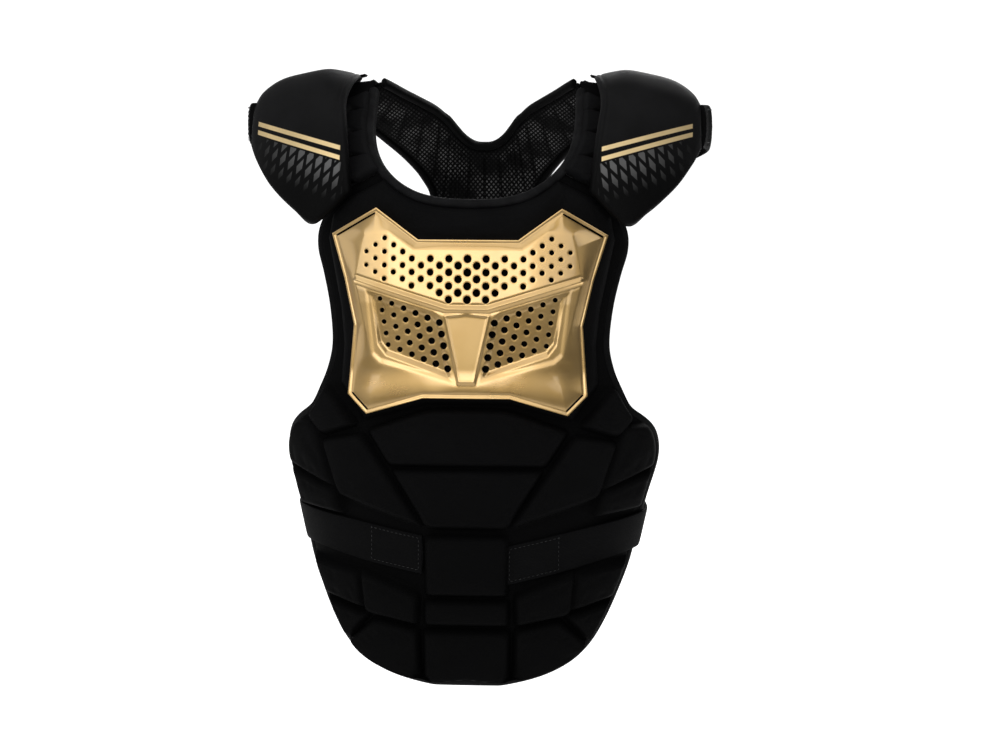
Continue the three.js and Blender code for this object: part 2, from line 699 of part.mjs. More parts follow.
// The outer face of a cap: u runs from the front hem over the crest to the back hem on two quarter arches
function capSheet(u, v) {
  const crest = capSection(v, "crest");
  const hem = capSection(v, u < 0.5 ? "front" : "back");
  const turn = (u < 0.5 ? u : 1 - u) * Math.PI;
  const forward = Math.max(Math.cos(turn), 0) ** (2 / CAP_ARCH.power);
  const upward = Math.max(Math.sin(turn), 0) ** (2 / CAP_ARCH.power);
  return new THREE.Vector3(
    THREE.MathUtils.lerp(hem.x, crest.x, upward),
    THREE.MathUtils.lerp(crest.y, hem.y, forward),
    THREE.MathUtils.lerp(hem.z, crest.z, upward),
  );
}

const capInner = offsetSheet(capSheet, CAP_THICKNESS);

function addCaps() {
  const rows = steps(CAP_SECTIONS.length - 1);
  const cap = wall(steps(2 * CAP_ARCH.steps), rows, capSheet, capInner);
  addPiece("shoulder_cap_left", cap, BLACK_FOAM_CLOTH);
  addPiece("shoulder_cap_right", cap, BLACK_FOAM_CLOTH, true);
}

// The back yoke: u runs from shoulder to shoulder, v from its lower to its upper edge
function yokeSheet(u, v) {
  const last = YOKE_SECTIONS.length - 1;
  const place = THREE.MathUtils.clamp(Math.abs(u) * last, 0, last);
  const low = Math.min(Math.floor(place), last - 1);
  const between = (edge, axis) =>
    THREE.MathUtils.lerp(YOKE_SECTIONS[low][edge][axis], YOKE_SECTIONS[low + 1][edge][axis], place - low);
  const x = THREE.MathUtils.lerp(between("lower", 0), between("upper", 0), v);
  const z = THREE.MathUtils.lerp(between("lower", 1), between("upper", 1), v);
  return backPoint(Math.sign(u) * x, z);
}

const yokeOuter = offsetSheet(yokeSheet, -YOKE.thickness);

function addYoke() {
  const columns = bothSides(steps(YOKE_SECTIONS.length - 1).slice(1));
  addPiece("back_yoke", wall(columns, YOKE.rows, yokeOuter, yokeSheet, true), BLACK_MESH);
  const normal = normalAt(yokeSheet);
  [
    { name: "yoke_binding_upper", v: 1, side: 1 },
    { name: "yoke_binding_lower", v: 0, side: -1 },
  ].forEach(({ name, v, side }) => {
    const points = columns.map((u) => yokeSheet(u, v));
    const normals = columns.map((u) => normal(u, v).negate());
    addPiece(name, binding(edgeStations(points, normals, side), YOKE.thickness), BLACK_BINDING);
  });
}

// Height of the underside of the band over the shoulder at its crest, which rises from the cap to the neck
function linkCrest(x) {
  const underCap = CAP_SECTIONS[0].crest[2] - CAP_THICKNESS - 3 * GAP - LINK.thickness;
  const clearOfCap = THREE.MathUtils.smoothstep(CAP_SECTIONS[0].crest[0] - x, 0, LINK.outer - LINK.inner);
  return underCap + LINK.innerRise * clearOfCap;
}

// The band over the shoulder: v runs from the strap's tongue over the crest to the yoke
function addLinks() {
  const onTongue = offsetSheet(strapSheet, STRAP.tongue + LINK.clearance);
  const onYoke = offsetSheet(yokeSheet, -YOKE.thickness - LINK.clearance);
  const routeAt = (u) => {
    const tongue = (v) => onTongue(u, v);
    const yoke = (v) => onYoke(v, THREE.MathUtils.lerp(LINK_ENDS.yokeInner, LINK_ENDS.yokeOuter, u));
    const x = THREE.MathUtils.lerp(LINK.inner, LINK.outer, u);
    const crest = (y) => new THREE.Vector3(x, y, linkCrest(x));
    const overCrest = [crest(LINK_CREST.front), crest(LINK_CREST.back)];
    return [tongue(LINK_ENDS.tongue), tongue(1), ...overCrest, yoke(1), yoke(LINK_ENDS.yoke)];
  };
  const last = LINK_LEANS.length - 1;
  const inner = (u, v) => routeAt(u)[Math.round(v * last)];
  const outer = (u, v) => {
    const lean = tilt(LINK_LEANS[Math.round(v * last)]);
    return inner(u, v).addScaledVector(lean, LINK.thickness);
  };
  const link = wall(steps(3), steps(last), outer, inner);
  addPiece("shoulder_link_left", link, BLACK_FABRIC);
  addPiece("shoulder_link_right", link, BLACK_FABRIC, true);
}

// A unit vector that leans from straight up towards the back
function tilt(back) {
  return new THREE.Vector3(0, back, Math.sqrt(1 - back * back));
}

function addTabs() {
  const sheet = (lift) => (u, v) => {
    const x = THREE.MathUtils.lerp(TAB.inner, TAB.outer, u);
    const y = THREE.MathUtils.lerp(TAB.front, TAB.back, v);
    return new THREE.Vector3(x, y, linkCrest(x) + LINK.thickness + 2 * GAP + TAB.rise * u * u + lift);
  };
  const tab = wall(steps(3), steps(1), sheet(TAB.thickness), sheet(0));
  addPiece("cap_tab_left", tab, BLACK_ELASTIC);
  addPiece("cap_tab_right", tab, BLACK_ELASTIC, true);
}

// A flat strap along a route, with its width upright and its thickness across the route, level
function flatStrap(route, width, thickness) {
  const rings = route.map((point, index) => {
    const before = route[Math.max(index - 1, 0)];
    const after = route[Math.min(index + 1, route.length - 1)];
    const along = after.clone().sub(before).setZ(0).normalize();
    const across = new THREE.Vector3(along.y, -along.x, 0);
    return [
      [-0.5, -0.5],
      [0.5, -0.5],
      [0.5, 0.5],
      [-0.5, 0.5],
    ].map(([side, up]) =>
      point
        .clone()
        .addScaledVector(across, side * thickness)
        .setZ(point.z + up * width),
    );
  });
  return barThrough(rings);
}

function addArmStraps() {
  const route = ARM_STRAP_ROUTE.map((place) => new THREE.Vector3(...place));
  const strap = flatStrap(route, ARM_STRAP.width, ARM_STRAP.thickness);
  addPiece("arm_strap_left", strap, BLACK_ELASTIC);
  addPiece("arm_strap_right", strap, BLACK_ELASTIC, true);
}

// A waist strap from its front end round the side to the yoke's tail, rising evenly on its way
function waistRoute({ frontEnd, frontHeight, slope }) {
  const base = BACKING + WAIST_STRAP.clearance + WAIST_STRAP.thickness / 2;
  const route = [];
  let travelled = 0;
  const power = 2 / SECTION_POWER;
  const angleOf = (x) => Math.asin((x / readBody(frontHeight, "halfWidth")) ** (1 / power));
  const [start, end] = [angleOf(frontEnd), Math.PI - angleOf(WAIST_STRAP.backEnd)];
  steps(WAIST_STRAP.steps).forEach((share) => {
    const angle = THREE.MathUtils.lerp(start, end, share);
    const z = frontHeight + slope * travelled;
    const lift = WAIST_LIFT.size * THREE.MathUtils.smoothstep(share, WAIST_LIFT.from, WAIST_LIFT.to);
    const offset = base + lift;
    const depth = Math.cos(angle) > 0 ? -(readBody(z, "front") + offset) : readBody(z, "back") + offset;
    const tuck = WAIST_TUCK.size * THREE.MathUtils.smoothstep(share, WAIST_TUCK.from, WAIST_TUCK.to);
    const x = (readBody(z, "halfWidth") - tuck + offset) * Math.sin(angle) ** power;
    const y = depth * Math.abs(Math.cos(angle)) ** power;
    const point = new THREE.Vector3(x, y, z);
    if (route.length) travelled += Math.hypot(x - route.at(-1).x, y - route.at(-1).y);
    route.push(point.setZ(frontHeight + slope * travelled));
  });
  return route;
}

function addWaistStraps() {
  Object.entries(WAIST_STRAP_SIDES).forEach(([side, sizes]) => {
    const strap = flatStrap(waistRoute(sizes), WAIST_STRAP.width, WAIST_STRAP.thickness);
    addPiece(`waist_strap_${side}`, strap, BLACK_ELASTIC, side === "right");
  });
}

addTorso();
addFoam();
addPlate();
addStraps();
addNeckBinding();
addCaps();
addYoke();
addLinks();
addTabs();
addArmStraps();
addWaistStraps();

export default protector;
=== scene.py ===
"""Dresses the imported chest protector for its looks.

Every piece is a surface worked out on a grid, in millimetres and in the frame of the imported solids: +X is the
wearer's left, -Y is the front and +Z is up. The pieces replace the solids and ride on the one body. Finishes and
the studio are in metres.
"""

from __future__ import annotations

import logging
import math
from dataclasses import dataclass, field
from enum import Enum
from typing import Any, Callable, Sequence

import bpy
import numpy as np
from mathutils import Matrix, Vector

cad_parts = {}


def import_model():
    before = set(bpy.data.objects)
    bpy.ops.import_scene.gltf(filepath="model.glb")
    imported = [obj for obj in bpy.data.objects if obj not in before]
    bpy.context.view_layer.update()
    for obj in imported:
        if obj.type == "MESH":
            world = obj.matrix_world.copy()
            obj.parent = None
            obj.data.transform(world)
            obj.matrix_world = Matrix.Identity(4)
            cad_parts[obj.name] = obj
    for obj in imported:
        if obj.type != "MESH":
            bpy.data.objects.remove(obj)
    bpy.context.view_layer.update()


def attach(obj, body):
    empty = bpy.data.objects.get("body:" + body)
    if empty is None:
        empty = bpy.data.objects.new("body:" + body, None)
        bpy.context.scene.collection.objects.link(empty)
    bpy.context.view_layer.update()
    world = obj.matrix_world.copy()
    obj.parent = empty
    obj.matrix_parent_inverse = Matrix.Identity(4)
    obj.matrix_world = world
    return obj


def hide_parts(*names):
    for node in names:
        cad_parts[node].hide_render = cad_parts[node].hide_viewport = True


Array = np.ndarray
Sheet = Callable[[Array, Array], Array]
Outline = Sequence[Sequence[float]]
Duo = tuple[float, float]
Trio = tuple[float, float, float]
Pairs = tuple[Duo, ...]
Triples = tuple[Trio, ...]
Colour = tuple[float, float, float, float]
Piece = bpy.types.Object
Material = bpy.types.Material

MM = 0.001
TINY = 1e-12  # keeps a division from failing
CURVE_STEPS = 40  # places read for each point of a smooth curve
INSIDE = 0.002  # how far in from a sheet's rim its normals are read
LEAST_RIM = 0.12  # share of a wall's thickness that is left at its rim
LEAST_END = 0.25  # share of a bar's section that is left at its ends
NO_CORNERS = 180.0  # no edge turns by more degrees than this
BODY = "root"
LOG = logging.getLogger("chest_protector")


class Side(Enum):
    """The wearer's two sides, by the sign of x."""

    LEFT = 1
    RIGHT = -1

    @property
    def word(self) -> str:
        """The side's name in a piece's name."""
        return self.name.lower()


class Slot(Enum):
    """The record's material slots."""

    FABRIC = "black_fabric"
    FOAM_CLOTH = "black_foam_cloth"
    BINDING = "black_binding"
    ELASTIC = "black_elastic"
    MESH = "black_mesh"
    GOLD = "gold_plastic"


# Working on whole arrays


def ramp(value: Array, low: float, high: float) -> Array:
    """Rises evenly from 0 at low to 1 at high."""
    return np.clip((value - low) / (high - low), 0.0, 1.0)


def smooth(value: Array, low: float, high: float) -> Array:
    """Rises from 0 at low to 1 at high with level ends."""
    share = ramp(value, low, high)
    return share * share * (3.0 - 2.0 * share)


def bell(value: Array, centre: float, width: float) -> Array:
    """A bell curve of height 1 round a centre."""
    return np.exp(-(((value - centre) / width) ** 2))


def lerp(start: Array, end: Array, share: Array) -> Array:
    """The place at a share of the way from start to end."""
    return start + (end - start) * share


def soft_least(first: Array, second: Array, blend: float) -> Array:
    """The smaller of two values, rounded off where they cross."""
    return -blend * np.logaddexp(-first / blend, -second / blend)


def unit(vectors: Array) -> Array:
    """Vectors of length 1 in the same directions."""
    return vectors / np.maximum(np.linalg.norm(vectors, axis=-1, keepdims=True), TINY)


def spline(rows: Array, place: Array) -> Array:
    """Reads a table on a smooth curve through its rows (Catmull-Rom).

    Args:
        rows: the table, one row for each whole number.
        place: where to read it, from 0 to the last row.

    Returns:
        One row for each place.
    """
    rows = np.asarray(rows, float)
    last = len(rows) - 1
    low = np.clip(np.floor(place).astype(int), 0, last - 1)
    share = (np.asarray(place, float) - low).reshape(low.shape + (1,) * (rows.ndim - 1))
    before, start = rows[np.clip(low - 1, 0, last)], rows[low]
    end, after = rows[low + 1], rows[np.clip(low + 2, 0, last)]
    leaving, arriving = (end - before) / 2, (after - start) / 2
    square = 3 * (end - start) - 2 * leaving - arriving
    cube = 2 * (start - end) + leaving + arriving
    return start + share * (leaving + share * (square + share * cube))


def through(points: Outline, count: int) -> Array:
    """Evenly spaced points on a smooth curve through a few points."""
    rows = np.asarray(points, float)
    fine = spline(rows, np.linspace(0, len(rows) - 1, CURVE_STEPS * len(rows)))
    return evenly(fine, count)


def table_value(table: Outline, place: Array) -> Array:
    """Reads a table of places and values on straight lines between its rows."""
    places, values = zip(*table)
    return np.interp(place, places, values)


def parameter_grid(columns: int, rows: int, start: float = 0.0) -> list[Array]:
    """Two parameters on a grid: one from start to 1 across its columns, one from 0 to 1 down its rows."""
    return np.meshgrid(np.linspace(start, 1, columns), np.linspace(0, 1, rows))


def lengths_along(path: Array) -> Array:
    """How far each point of a path lies from its start, along the path."""
    return np.concatenate([[0.0], np.cumsum(np.linalg.norm(np.diff(path, axis=0), axis=1))])


def evenly(path: Array, count: int) -> Array:
    """The same path at evenly spaced points."""
    length = lengths_along(path)
    places = np.linspace(0.0, length[-1], count)
    return np.stack([np.interp(places, length, path[:, axis]) for axis in range(3)], axis=-1)


def eased(path: Array, passes: int) -> Array:
    """A path with its corners worn down: each pass moves a point halfway to its neighbours' middle."""
    for _ in range(passes):
        path = np.concatenate([path[:1], path[1:-1] / 2 + (path[:-2] + path[2:]) / 4, path[-1:]])
    return path


def blurred(height: Array) -> Array:
    """A field of heights with its creases worn down as a path's corners are, once each way."""
    return eased(eased(height, 1).T, 1).T


def normals_of(sheet: Sheet, u: Array, v: Array) -> Array:
    """Unit normals of a sheet, facing u cross v, from small steps to each side."""
    step = 1e-3
    along_u = sheet(u + step, v) - sheet(u - step, v)
    along_v = sheet(u, v + step) - sheet(u, v - step)
    return unit(np.cross(along_u, along_v))


def stretch_distance(points: Array, start: Array, side: Array) -> Array:
    """Distance of each point to the nearest of several straight stretches, each from a start along a side."""
    offset = points - start
    share = np.clip(np.sum(offset * side, axis=-1) / np.sum(side * side, axis=-1), 0.0, 1.0)
    return np.linalg.norm(offset - share[..., None] * side, axis=-1).min(axis=-1)


def line_distance(x: Array, z: Array, line: Outline) -> Array:
    """Distance of each point to an open line of straight stretches."""
    points = np.stack([x, z], axis=-1)[..., None, :]
    start = np.asarray(line[:-1], float)
    return stretch_distance(points, start, np.asarray(line[1:], float) - start)


def polygon_depth(x: Array, z: Array, corners: Outline) -> Array:
    """How far inside a polygon each point lies: its distance to the nearest side, negative outside.

    Args:
        x: first coordinates.
        z: second coordinates.
        corners: the polygon's corners in order, either way round.

    Returns:
        An array of the points' shape.
    """
    points = np.stack([x, z], axis=-1)[..., None, :]
    start = np.asarray(corners, float)
    side = np.roll(start, -1, axis=0) - start
    nearest = stretch_distance(points, start, side)
    end = start + side
    crosses = (start[:, 1] > points[..., 1]) != (end[:, 1] > points[..., 1])
    slope = np.where(side[:, 1] == 0, TINY, side[:, 1])
    at = start[:, 0] + (points[..., 1] - start[:, 1]) / slope * side[:, 0]
    inside = np.sum(crosses & (points[..., 0] < at), axis=-1) % 2 == 1
    return np.where(inside, nearest, -nearest)


def convex_depth(x: Array, z: Array, corners: Outline, rounding: float) -> Array:
    """How far inside a convex polygon each point lies, as the soft minimum of its distances to the sides.

    Args:
        x: first coordinates.
        z: second coordinates.
        corners: the polygon's corners in order, either way round.
        rounding: how much the soft minimum rounds the corners.

    Returns:
        An array of the points' shape, negative outside.
    """
    start = np.asarray(corners, float)
    end = np.roll(start, -1, axis=0)
    area = np.sum(start[:, 0] * end[:, 1] - end[:, 0] * start[:, 1])
    inward = unit(np.stack([start[:, 1] - end[:, 1], end[:, 0] - start[:, 0]], axis=-1)) * np.sign(area)
    depth = x[..., None] * inward[:, 0] + z[..., None] * inward[:, 1] - np.sum(start * inward, axis=1)
    lowest = depth.min(axis=-1, keepdims=True)
    return lowest[..., 0] - rounding * np.log(np.exp(-(depth - lowest) / rounding).sum(axis=-1))


def unevenness(points: Array, shortest: float, longest: float, seed: int) -> Array:
    """A soft random field over space: a sum of sine waves in random directions.

    Args:
        points: where to read it.
        shortest: least wave length.
        longest: greatest wave length.
        seed: what the directions, lengths and phases are drawn from.

    Returns:
        A number from about -1 to 1 for each point.
    """
    chance = np.random.default_rng(seed)
    count = 14
    ways = unit(chance.normal(size=(count, 3)))
    lengths = np.exp(chance.uniform(np.log(shortest), np.log(longest), count))
    phases = chance.uniform(0, 2 * np.pi, count)
    waves = np.sin(points @ (ways * (2 * np.pi / lengths)[:, None]).T + phases)
    return waves.sum(axis=-1) / math.sqrt(2 * count)


@dataclass
class RimDistance:
    """How far each point of a grid lies from the grid's four rims, along the grid."""

    first_row: Array
    last_row: Array
    first_column: Array
    last_column: Array

    @classmethod
    def of(cls, grid: Array) -> RimDistance:
        """Adds up the steps between the points of a grid, along its rows and its columns."""
        down = np.linalg.norm(np.diff(grid, axis=0), axis=-1)
        across = np.linalg.norm(np.diff(grid, axis=1), axis=-1)
        rows = np.concatenate([np.zeros((1, grid.shape[1])), np.cumsum(down, axis=0)])
        columns = np.concatenate([np.zeros((grid.shape[0], 1)), np.cumsum(across, axis=1)], axis=1)
        return cls(rows, rows[-1:] - rows, columns, columns[:, -1:] - columns)

    @property
    def nearest(self) -> Array:
        """Distance to the nearest rim."""
        rows = np.minimum(self.first_row, self.last_row)
        return np.minimum(rows, np.minimum(self.first_column, self.last_column))


# Surfaces


def linked(name: str, data: bpy.types.ID) -> Piece:
    """A new object in the scene's collection, at the origin."""
    made = bpy.data.objects.new(name, data)
    bpy.context.scene.collection.objects.link(made)
    return made


@dataclass
class Surface:
    """A mesh in the making: points in millimetres, faces, and a place on the cloth for each corner in metres.

    faces holds one index array for each kind of face, uv one array of the same shape with two numbers each,
    and finishes the number of the material for each.
    """

    points: Array
    faces: list[Array]
    uv: list[Array]
    finishes: list[int] = field(default_factory=list)

    def facing_out(self) -> Surface:
        """Turns every face round if the closed surface holds a negative volume."""
        volume = 0.0
        for faces in self.faces:
            first = self.points[faces[:, 0]]
            for corner in range(1, faces.shape[1] - 1):
                second, third = self.points[faces[:, corner]], self.points[faces[:, corner + 1]]
                volume += float(np.sum(first * np.cross(second, third)))
        return self if volume >= 0 else self.turned()

    def turned(self) -> Surface:
        """The same surface with its faces turned round."""
        faces = [array[:, ::-1] for array in self.faces]
        return Surface(self.points, faces, [array[:, ::-1] for array in self.uv], self.finishes)

    def on(self, side: Side) -> Surface:
        """A piece made for the wearer's left, on the given side."""
        if side is Side.LEFT:
            return self
        flipped = Surface(self.points * [-1, 1, 1], self.faces, self.uv, self.finishes)
        return flipped.turned()

    def piece(
        self, name: str, materials: Sequence[Material], sharp: float = NO_CORNERS, recess_shade: Array | None = None
    ) -> Piece:
        """Makes the object, at the origin.

        Args:
            name: the piece's name.
            materials: its materials, in the order of finishes.
            sharp: edges that turn by more than this many degrees are shaded as corners.
            recess_shade: how deep in a groove each of the first points lies, from 0 to 1.

        Returns:
            The new object, in the scene's collection.
        """
        mesh = bpy.data.meshes.new(name)
        corners = np.concatenate([array.ravel() for array in self.faces]).astype(np.int32)
        sizes = np.concatenate([np.full(len(array), array.shape[1]) for array in self.faces])
        starts = np.concatenate([[0], np.cumsum(sizes)[:-1]]).astype(np.int32)
        finishes = self.finishes or [0] * len(self.faces)
        kinds = np.concatenate([np.full(len(a), k) for a, k in zip(self.faces, finishes)]).astype(np.int32)
        mesh.vertices.add(len(self.points))
        mesh.vertices.foreach_set("co", (self.points * MM).astype(np.float32).ravel())
        mesh.loops.add(len(corners))
        mesh.loops.foreach_set("vertex_index", corners)
        mesh.polygons.add(len(sizes))
        mesh.polygons.foreach_set("loop_start", starts)
        mesh.polygons.foreach_set("material_index", kinds)
        layer = mesh.uv_layers.new(name="cloth")
        uv = np.concatenate([array.reshape(-1, 2) for array in self.uv]).astype(np.float32)
        layer.uv.foreach_set("vector", uv.ravel())
        mesh.update(calc_edges=True)
        mesh.validate()
        mesh.shade_smooth()
        # The groove depths are kept on the mesh so that its materials can paint shade in the grooves.
        if recess_shade is not None:
            depths = np.zeros(len(self.points), np.float32)
            depths[: recess_shade.size] = recess_shade.ravel()
            mesh.attributes.new("recess_shade", "FLOAT", "POINT").data.foreach_set("value", depths)
        if sharp < NO_CORNERS:
            mesh.set_sharp_from_angle(angle=math.radians(sharp))
        for material in materials:
            mesh.materials.append(material)
        return linked(name, mesh)

    @staticmethod
    def joined(surfaces: Sequence[Surface]) -> Surface:
        """Several surfaces as one."""
        shift = np.cumsum([0] + [len(s.points) for s in surfaces])
        faces = [array + shift[k] for k, s in enumerate(surfaces) for array in s.faces]
        uv = [array for s in surfaces for array in s.uv]
        finishes = [kind for s in surfaces for kind in (s.finishes or [0] * len(s.faces))]
        return Surface(np.concatenate([s.points for s in surfaces]), faces, uv, finishes)


def grid_quads(rows: int, columns: int, wrap: bool = False) -> Array:
    """Faces of a grid of points, row by row; wrap joins the last column to the first."""
    row, column = np.meshgrid(np.arange(rows - 1), np.arange(columns if wrap else columns - 1), indexing="ij")
    after = (column + 1) % columns
    ring = [row * columns + column, row * columns + after]
    quad = ring + [(row + 1) * columns + after, (row + 1) * columns + column]
    return np.stack(quad, axis=-1).reshape(-1, 4)


def rim_indices(rows: int, columns: int) -> Array:
    """Indices of a grid's rim, once round, starting along the first row."""
    index = np.arange(rows * columns).reshape(rows, columns)
    return np.concatenate([index[0, :-1], index[:-1, -1], index[-1, :0:-1], index[:0:-1, 0]])


def cloth_places(grid: Array) -> Array:
    """Cloth coordinates of a grid in metres: lengths along its middle row and its middle column."""
    rim = RimDistance.of(grid)
    middle = rim.first_column[:, grid.shape[1] // 2][:, None]
    return np.stack([rim.first_column - middle, rim.first_row], axis=-1) * MM


def closed_wall(outer: Array, inner: Array, finishes: Sequence[int] = (0, 0, 0)) -> Surface:
    """A closed wall between an outer and an inner grid, joined round the rim.

    Args:
        outer: the outer grid, rows by columns.
        inner: the inner grid, which may be coarser by a whole number of steps.
        finishes: material numbers of the outer face, the inner face and the rim.

    Returns:
        The wall, with its faces pointing out.
    """
    rows, columns = outer.shape[:2]
    coarse_rows, coarse_columns = inner.shape[:2]
    step = (columns - 1) // (coarse_columns - 1)
    shift = rows * columns
    front = grid_quads(rows, columns)
    back = grid_quads(coarse_rows, coarse_columns)[:, ::-1] + shift
    fine = rim_indices(rows, columns)
    coarse = rim_indices(coarse_rows, coarse_columns) + shift
    begin = np.arange(len(coarse))[:, None] * step
    stretch = fine[(begin + np.arange(step, -1, -1)) % len(fine)]
    edge = np.concatenate([stretch, coarse[:, None], np.roll(coarse, -1)[:, None]], axis=1)
    places = np.concatenate([cloth_places(outer).reshape(-1, 2), cloth_places(inner).reshape(-1, 2)])
    faces = [front, back, edge]
    points = np.concatenate([outer.reshape(-1, 3), inner.reshape(-1, 3)])
    return Surface(points, faces, [places[array] for array in faces], list(finishes)).facing_out()


def soft_wall(outer: Array, inner: Array, radius: float, finishes: Sequence[int] = (0, 0, 0)) -> Surface:
    """A closed wall whose rim is rounded: both faces draw in to the middle on a quarter circle.

    Args:
        outer: the outer grid, rows by columns.
        inner: the inner grid, of the same shape.
        radius: how far from the rim the rounding starts.
        finishes: material numbers of the outer face, the inner face and the rim.

    Returns:
        The wall, with its faces pointing out.
    """
    middle = (outer + inner) / 2
    near = np.clip(1 - RimDistance.of(outer).nearest / radius, 0, 1)
    fullness = np.maximum(np.sqrt(1 - near**2), LEAST_RIM)[..., None]
    return closed_wall(middle + (outer - middle) * fullness, middle + (inner - middle) * fullness, finishes)


def sweep(
    path: Array, side: Array, up: Array, profile: Array, blunt: float = 0.0, swell: Array | float = 1.0
) -> Surface:
    """Carries a closed profile along a path.

    A point is the path plus its profile's first number along side and its second along up.

    Args:
        path: points of the path.
        side: unit vectors to one side of the path.
        up: unit vectors out of what the path lies on.
        profile: the closed outline, as pairs.
        blunt: length over which each end is rounded off.
        swell: how much thicker than its profile the bar is along side, at each point.

    Returns:
        The closed bar, with its faces pointing out.
    """
    length = lengths_along(path)
    near = np.clip(1 - np.minimum(length, length[-1] - length) / max(blunt, TINY), 0, 1)
    full = np.maximum(np.sqrt(1 - near**2), LEAST_END) if blunt else np.ones(len(path))
    middle = profile.mean(axis=0)
    shape = middle + (profile - middle) * full[:, None, None]
    shape[..., 0] *= np.broadcast_to(swell, len(path))[:, None]
    points = path[:, None] + shape[..., :1] * side[:, None] + shape[..., 1:] * up[:, None]
    rows, columns = points.shape[:2]
    girth = lengths_along(np.concatenate([profile, profile[:1]]))
    places = np.stack(np.meshgrid(girth, length), axis=-1)[..., ::-1] * MM
    quads = grid_quads(rows, columns, wrap=True)
    whole = grid_quads(rows, columns + 1)
    ends = np.stack([np.arange(columns)[::-1], np.arange(columns) + (rows - 1) * columns])
    flat = places[[0, -1], :-1]
    uv = [places.reshape(-1, 2)[whole], np.stack([flat[0][::-1], flat[1]])]
    return Surface(points.reshape(-1, 3), [quads, ends], uv).facing_out()


def oval(width: float, height: float, power: float, count: int, middle: Sequence[float] = (0.0, 0.0)) -> Array:
    """A closed superellipse outline: |a / half width| ** power + |b / half height| ** power = 1.

    Args:
        width: its whole width.
        height: its whole height.
        power: how square it is; 2 gives an ellipse.
        count: the number of its points.
        middle: where its middle lies.

    Returns:
        The points, as pairs.
    """
    turn = np.linspace(0, 2 * np.pi, count, endpoint=False)
    across, along = np.cos(turn), np.sin(turn)
    first = np.sign(across) * np.abs(across) ** (2 / power) * width / 2
    second = np.sign(along) * np.abs(along) ** (2 / power) * height / 2
    return np.stack([first, second], axis=-1) + np.asarray(middle)


def along_of(path: Array) -> Array:
    """Unit vectors along a path."""
    return unit(np.gradient(path, axis=0))


def level_side(path: Array) -> Array:
    """Level unit vectors to the right of a path."""
    along = unit(along_of(path) * [1, 1, 0])
    return np.stack([along[:, 1], -along[:, 0], np.zeros(len(along))], axis=-1)


# Materials


class Value:
    """A number in a node tree. Python's operators on it add Math nodes."""

    def __init__(self, graph: Graph, socket: bpy.types.NodeSocket) -> None:
        """Wraps a node's output."""
        self.graph = graph
        self.socket = socket

    def math(self, operation: str, *operands: Any) -> Value:
        """Adds a Math node on the operands."""
        return self.graph.value("ShaderNodeMath", 0, {"operation": operation}, dict(enumerate(operands)))

    def __add__(self, other: Any) -> Value:
        """Sum."""
        return self.math("ADD", self, other)

    __radd__ = __add__

    def __sub__(self, other: Any) -> Value:
        """Difference."""
        return self.math("SUBTRACT", self, other)

    def __rsub__(self, other: Any) -> Value:
        """Difference from a number."""
        return self.math("SUBTRACT", other, self)

    def __mul__(self, other: Any) -> Value:
        """Product."""
        return self.math("MULTIPLY", self, other)

    __rmul__ = __mul__

    def __truediv__(self, other: Any) -> Value:
        """Quotient."""
        return self.math("DIVIDE", self, other)

    def __rtruediv__(self, other: Any) -> Value:
        """Quotient of a number."""
        return self.math("DIVIDE", other, self)

    def __abs__(self) -> Value:
        """Size without sign."""
        return self.math("ABSOLUTE", self)

    def sine(self) -> Value:
        """Sine of an angle in radians."""
        return self.math("SINE", self)

    def fraction(self) -> Value:
        """What is left above the next lower whole number."""
        return self.math("FRACT", self)

    def at_least(self, other: Any) -> Value:
        """The greater of two."""
        return self.math("MAXIMUM", self, other)

    def between(self, low: float, high: float) -> Value:
        """Rises from 0 at low to 1 at high with level ends; low may be the greater."""
        settings = {"interpolation_type": "SMOOTHSTEP"}
        inputs = {"Value": self, "From Min": low, "From Max": high, "To Min": 0.0, "To Max": 1.0}
        if low > high:
            inputs |= {"From Min": high, "From Max": low, "To Min": 1.0, "To Max": 0.0}
        return self.graph.value("ShaderNodeMapRange", 0, settings, inputs)


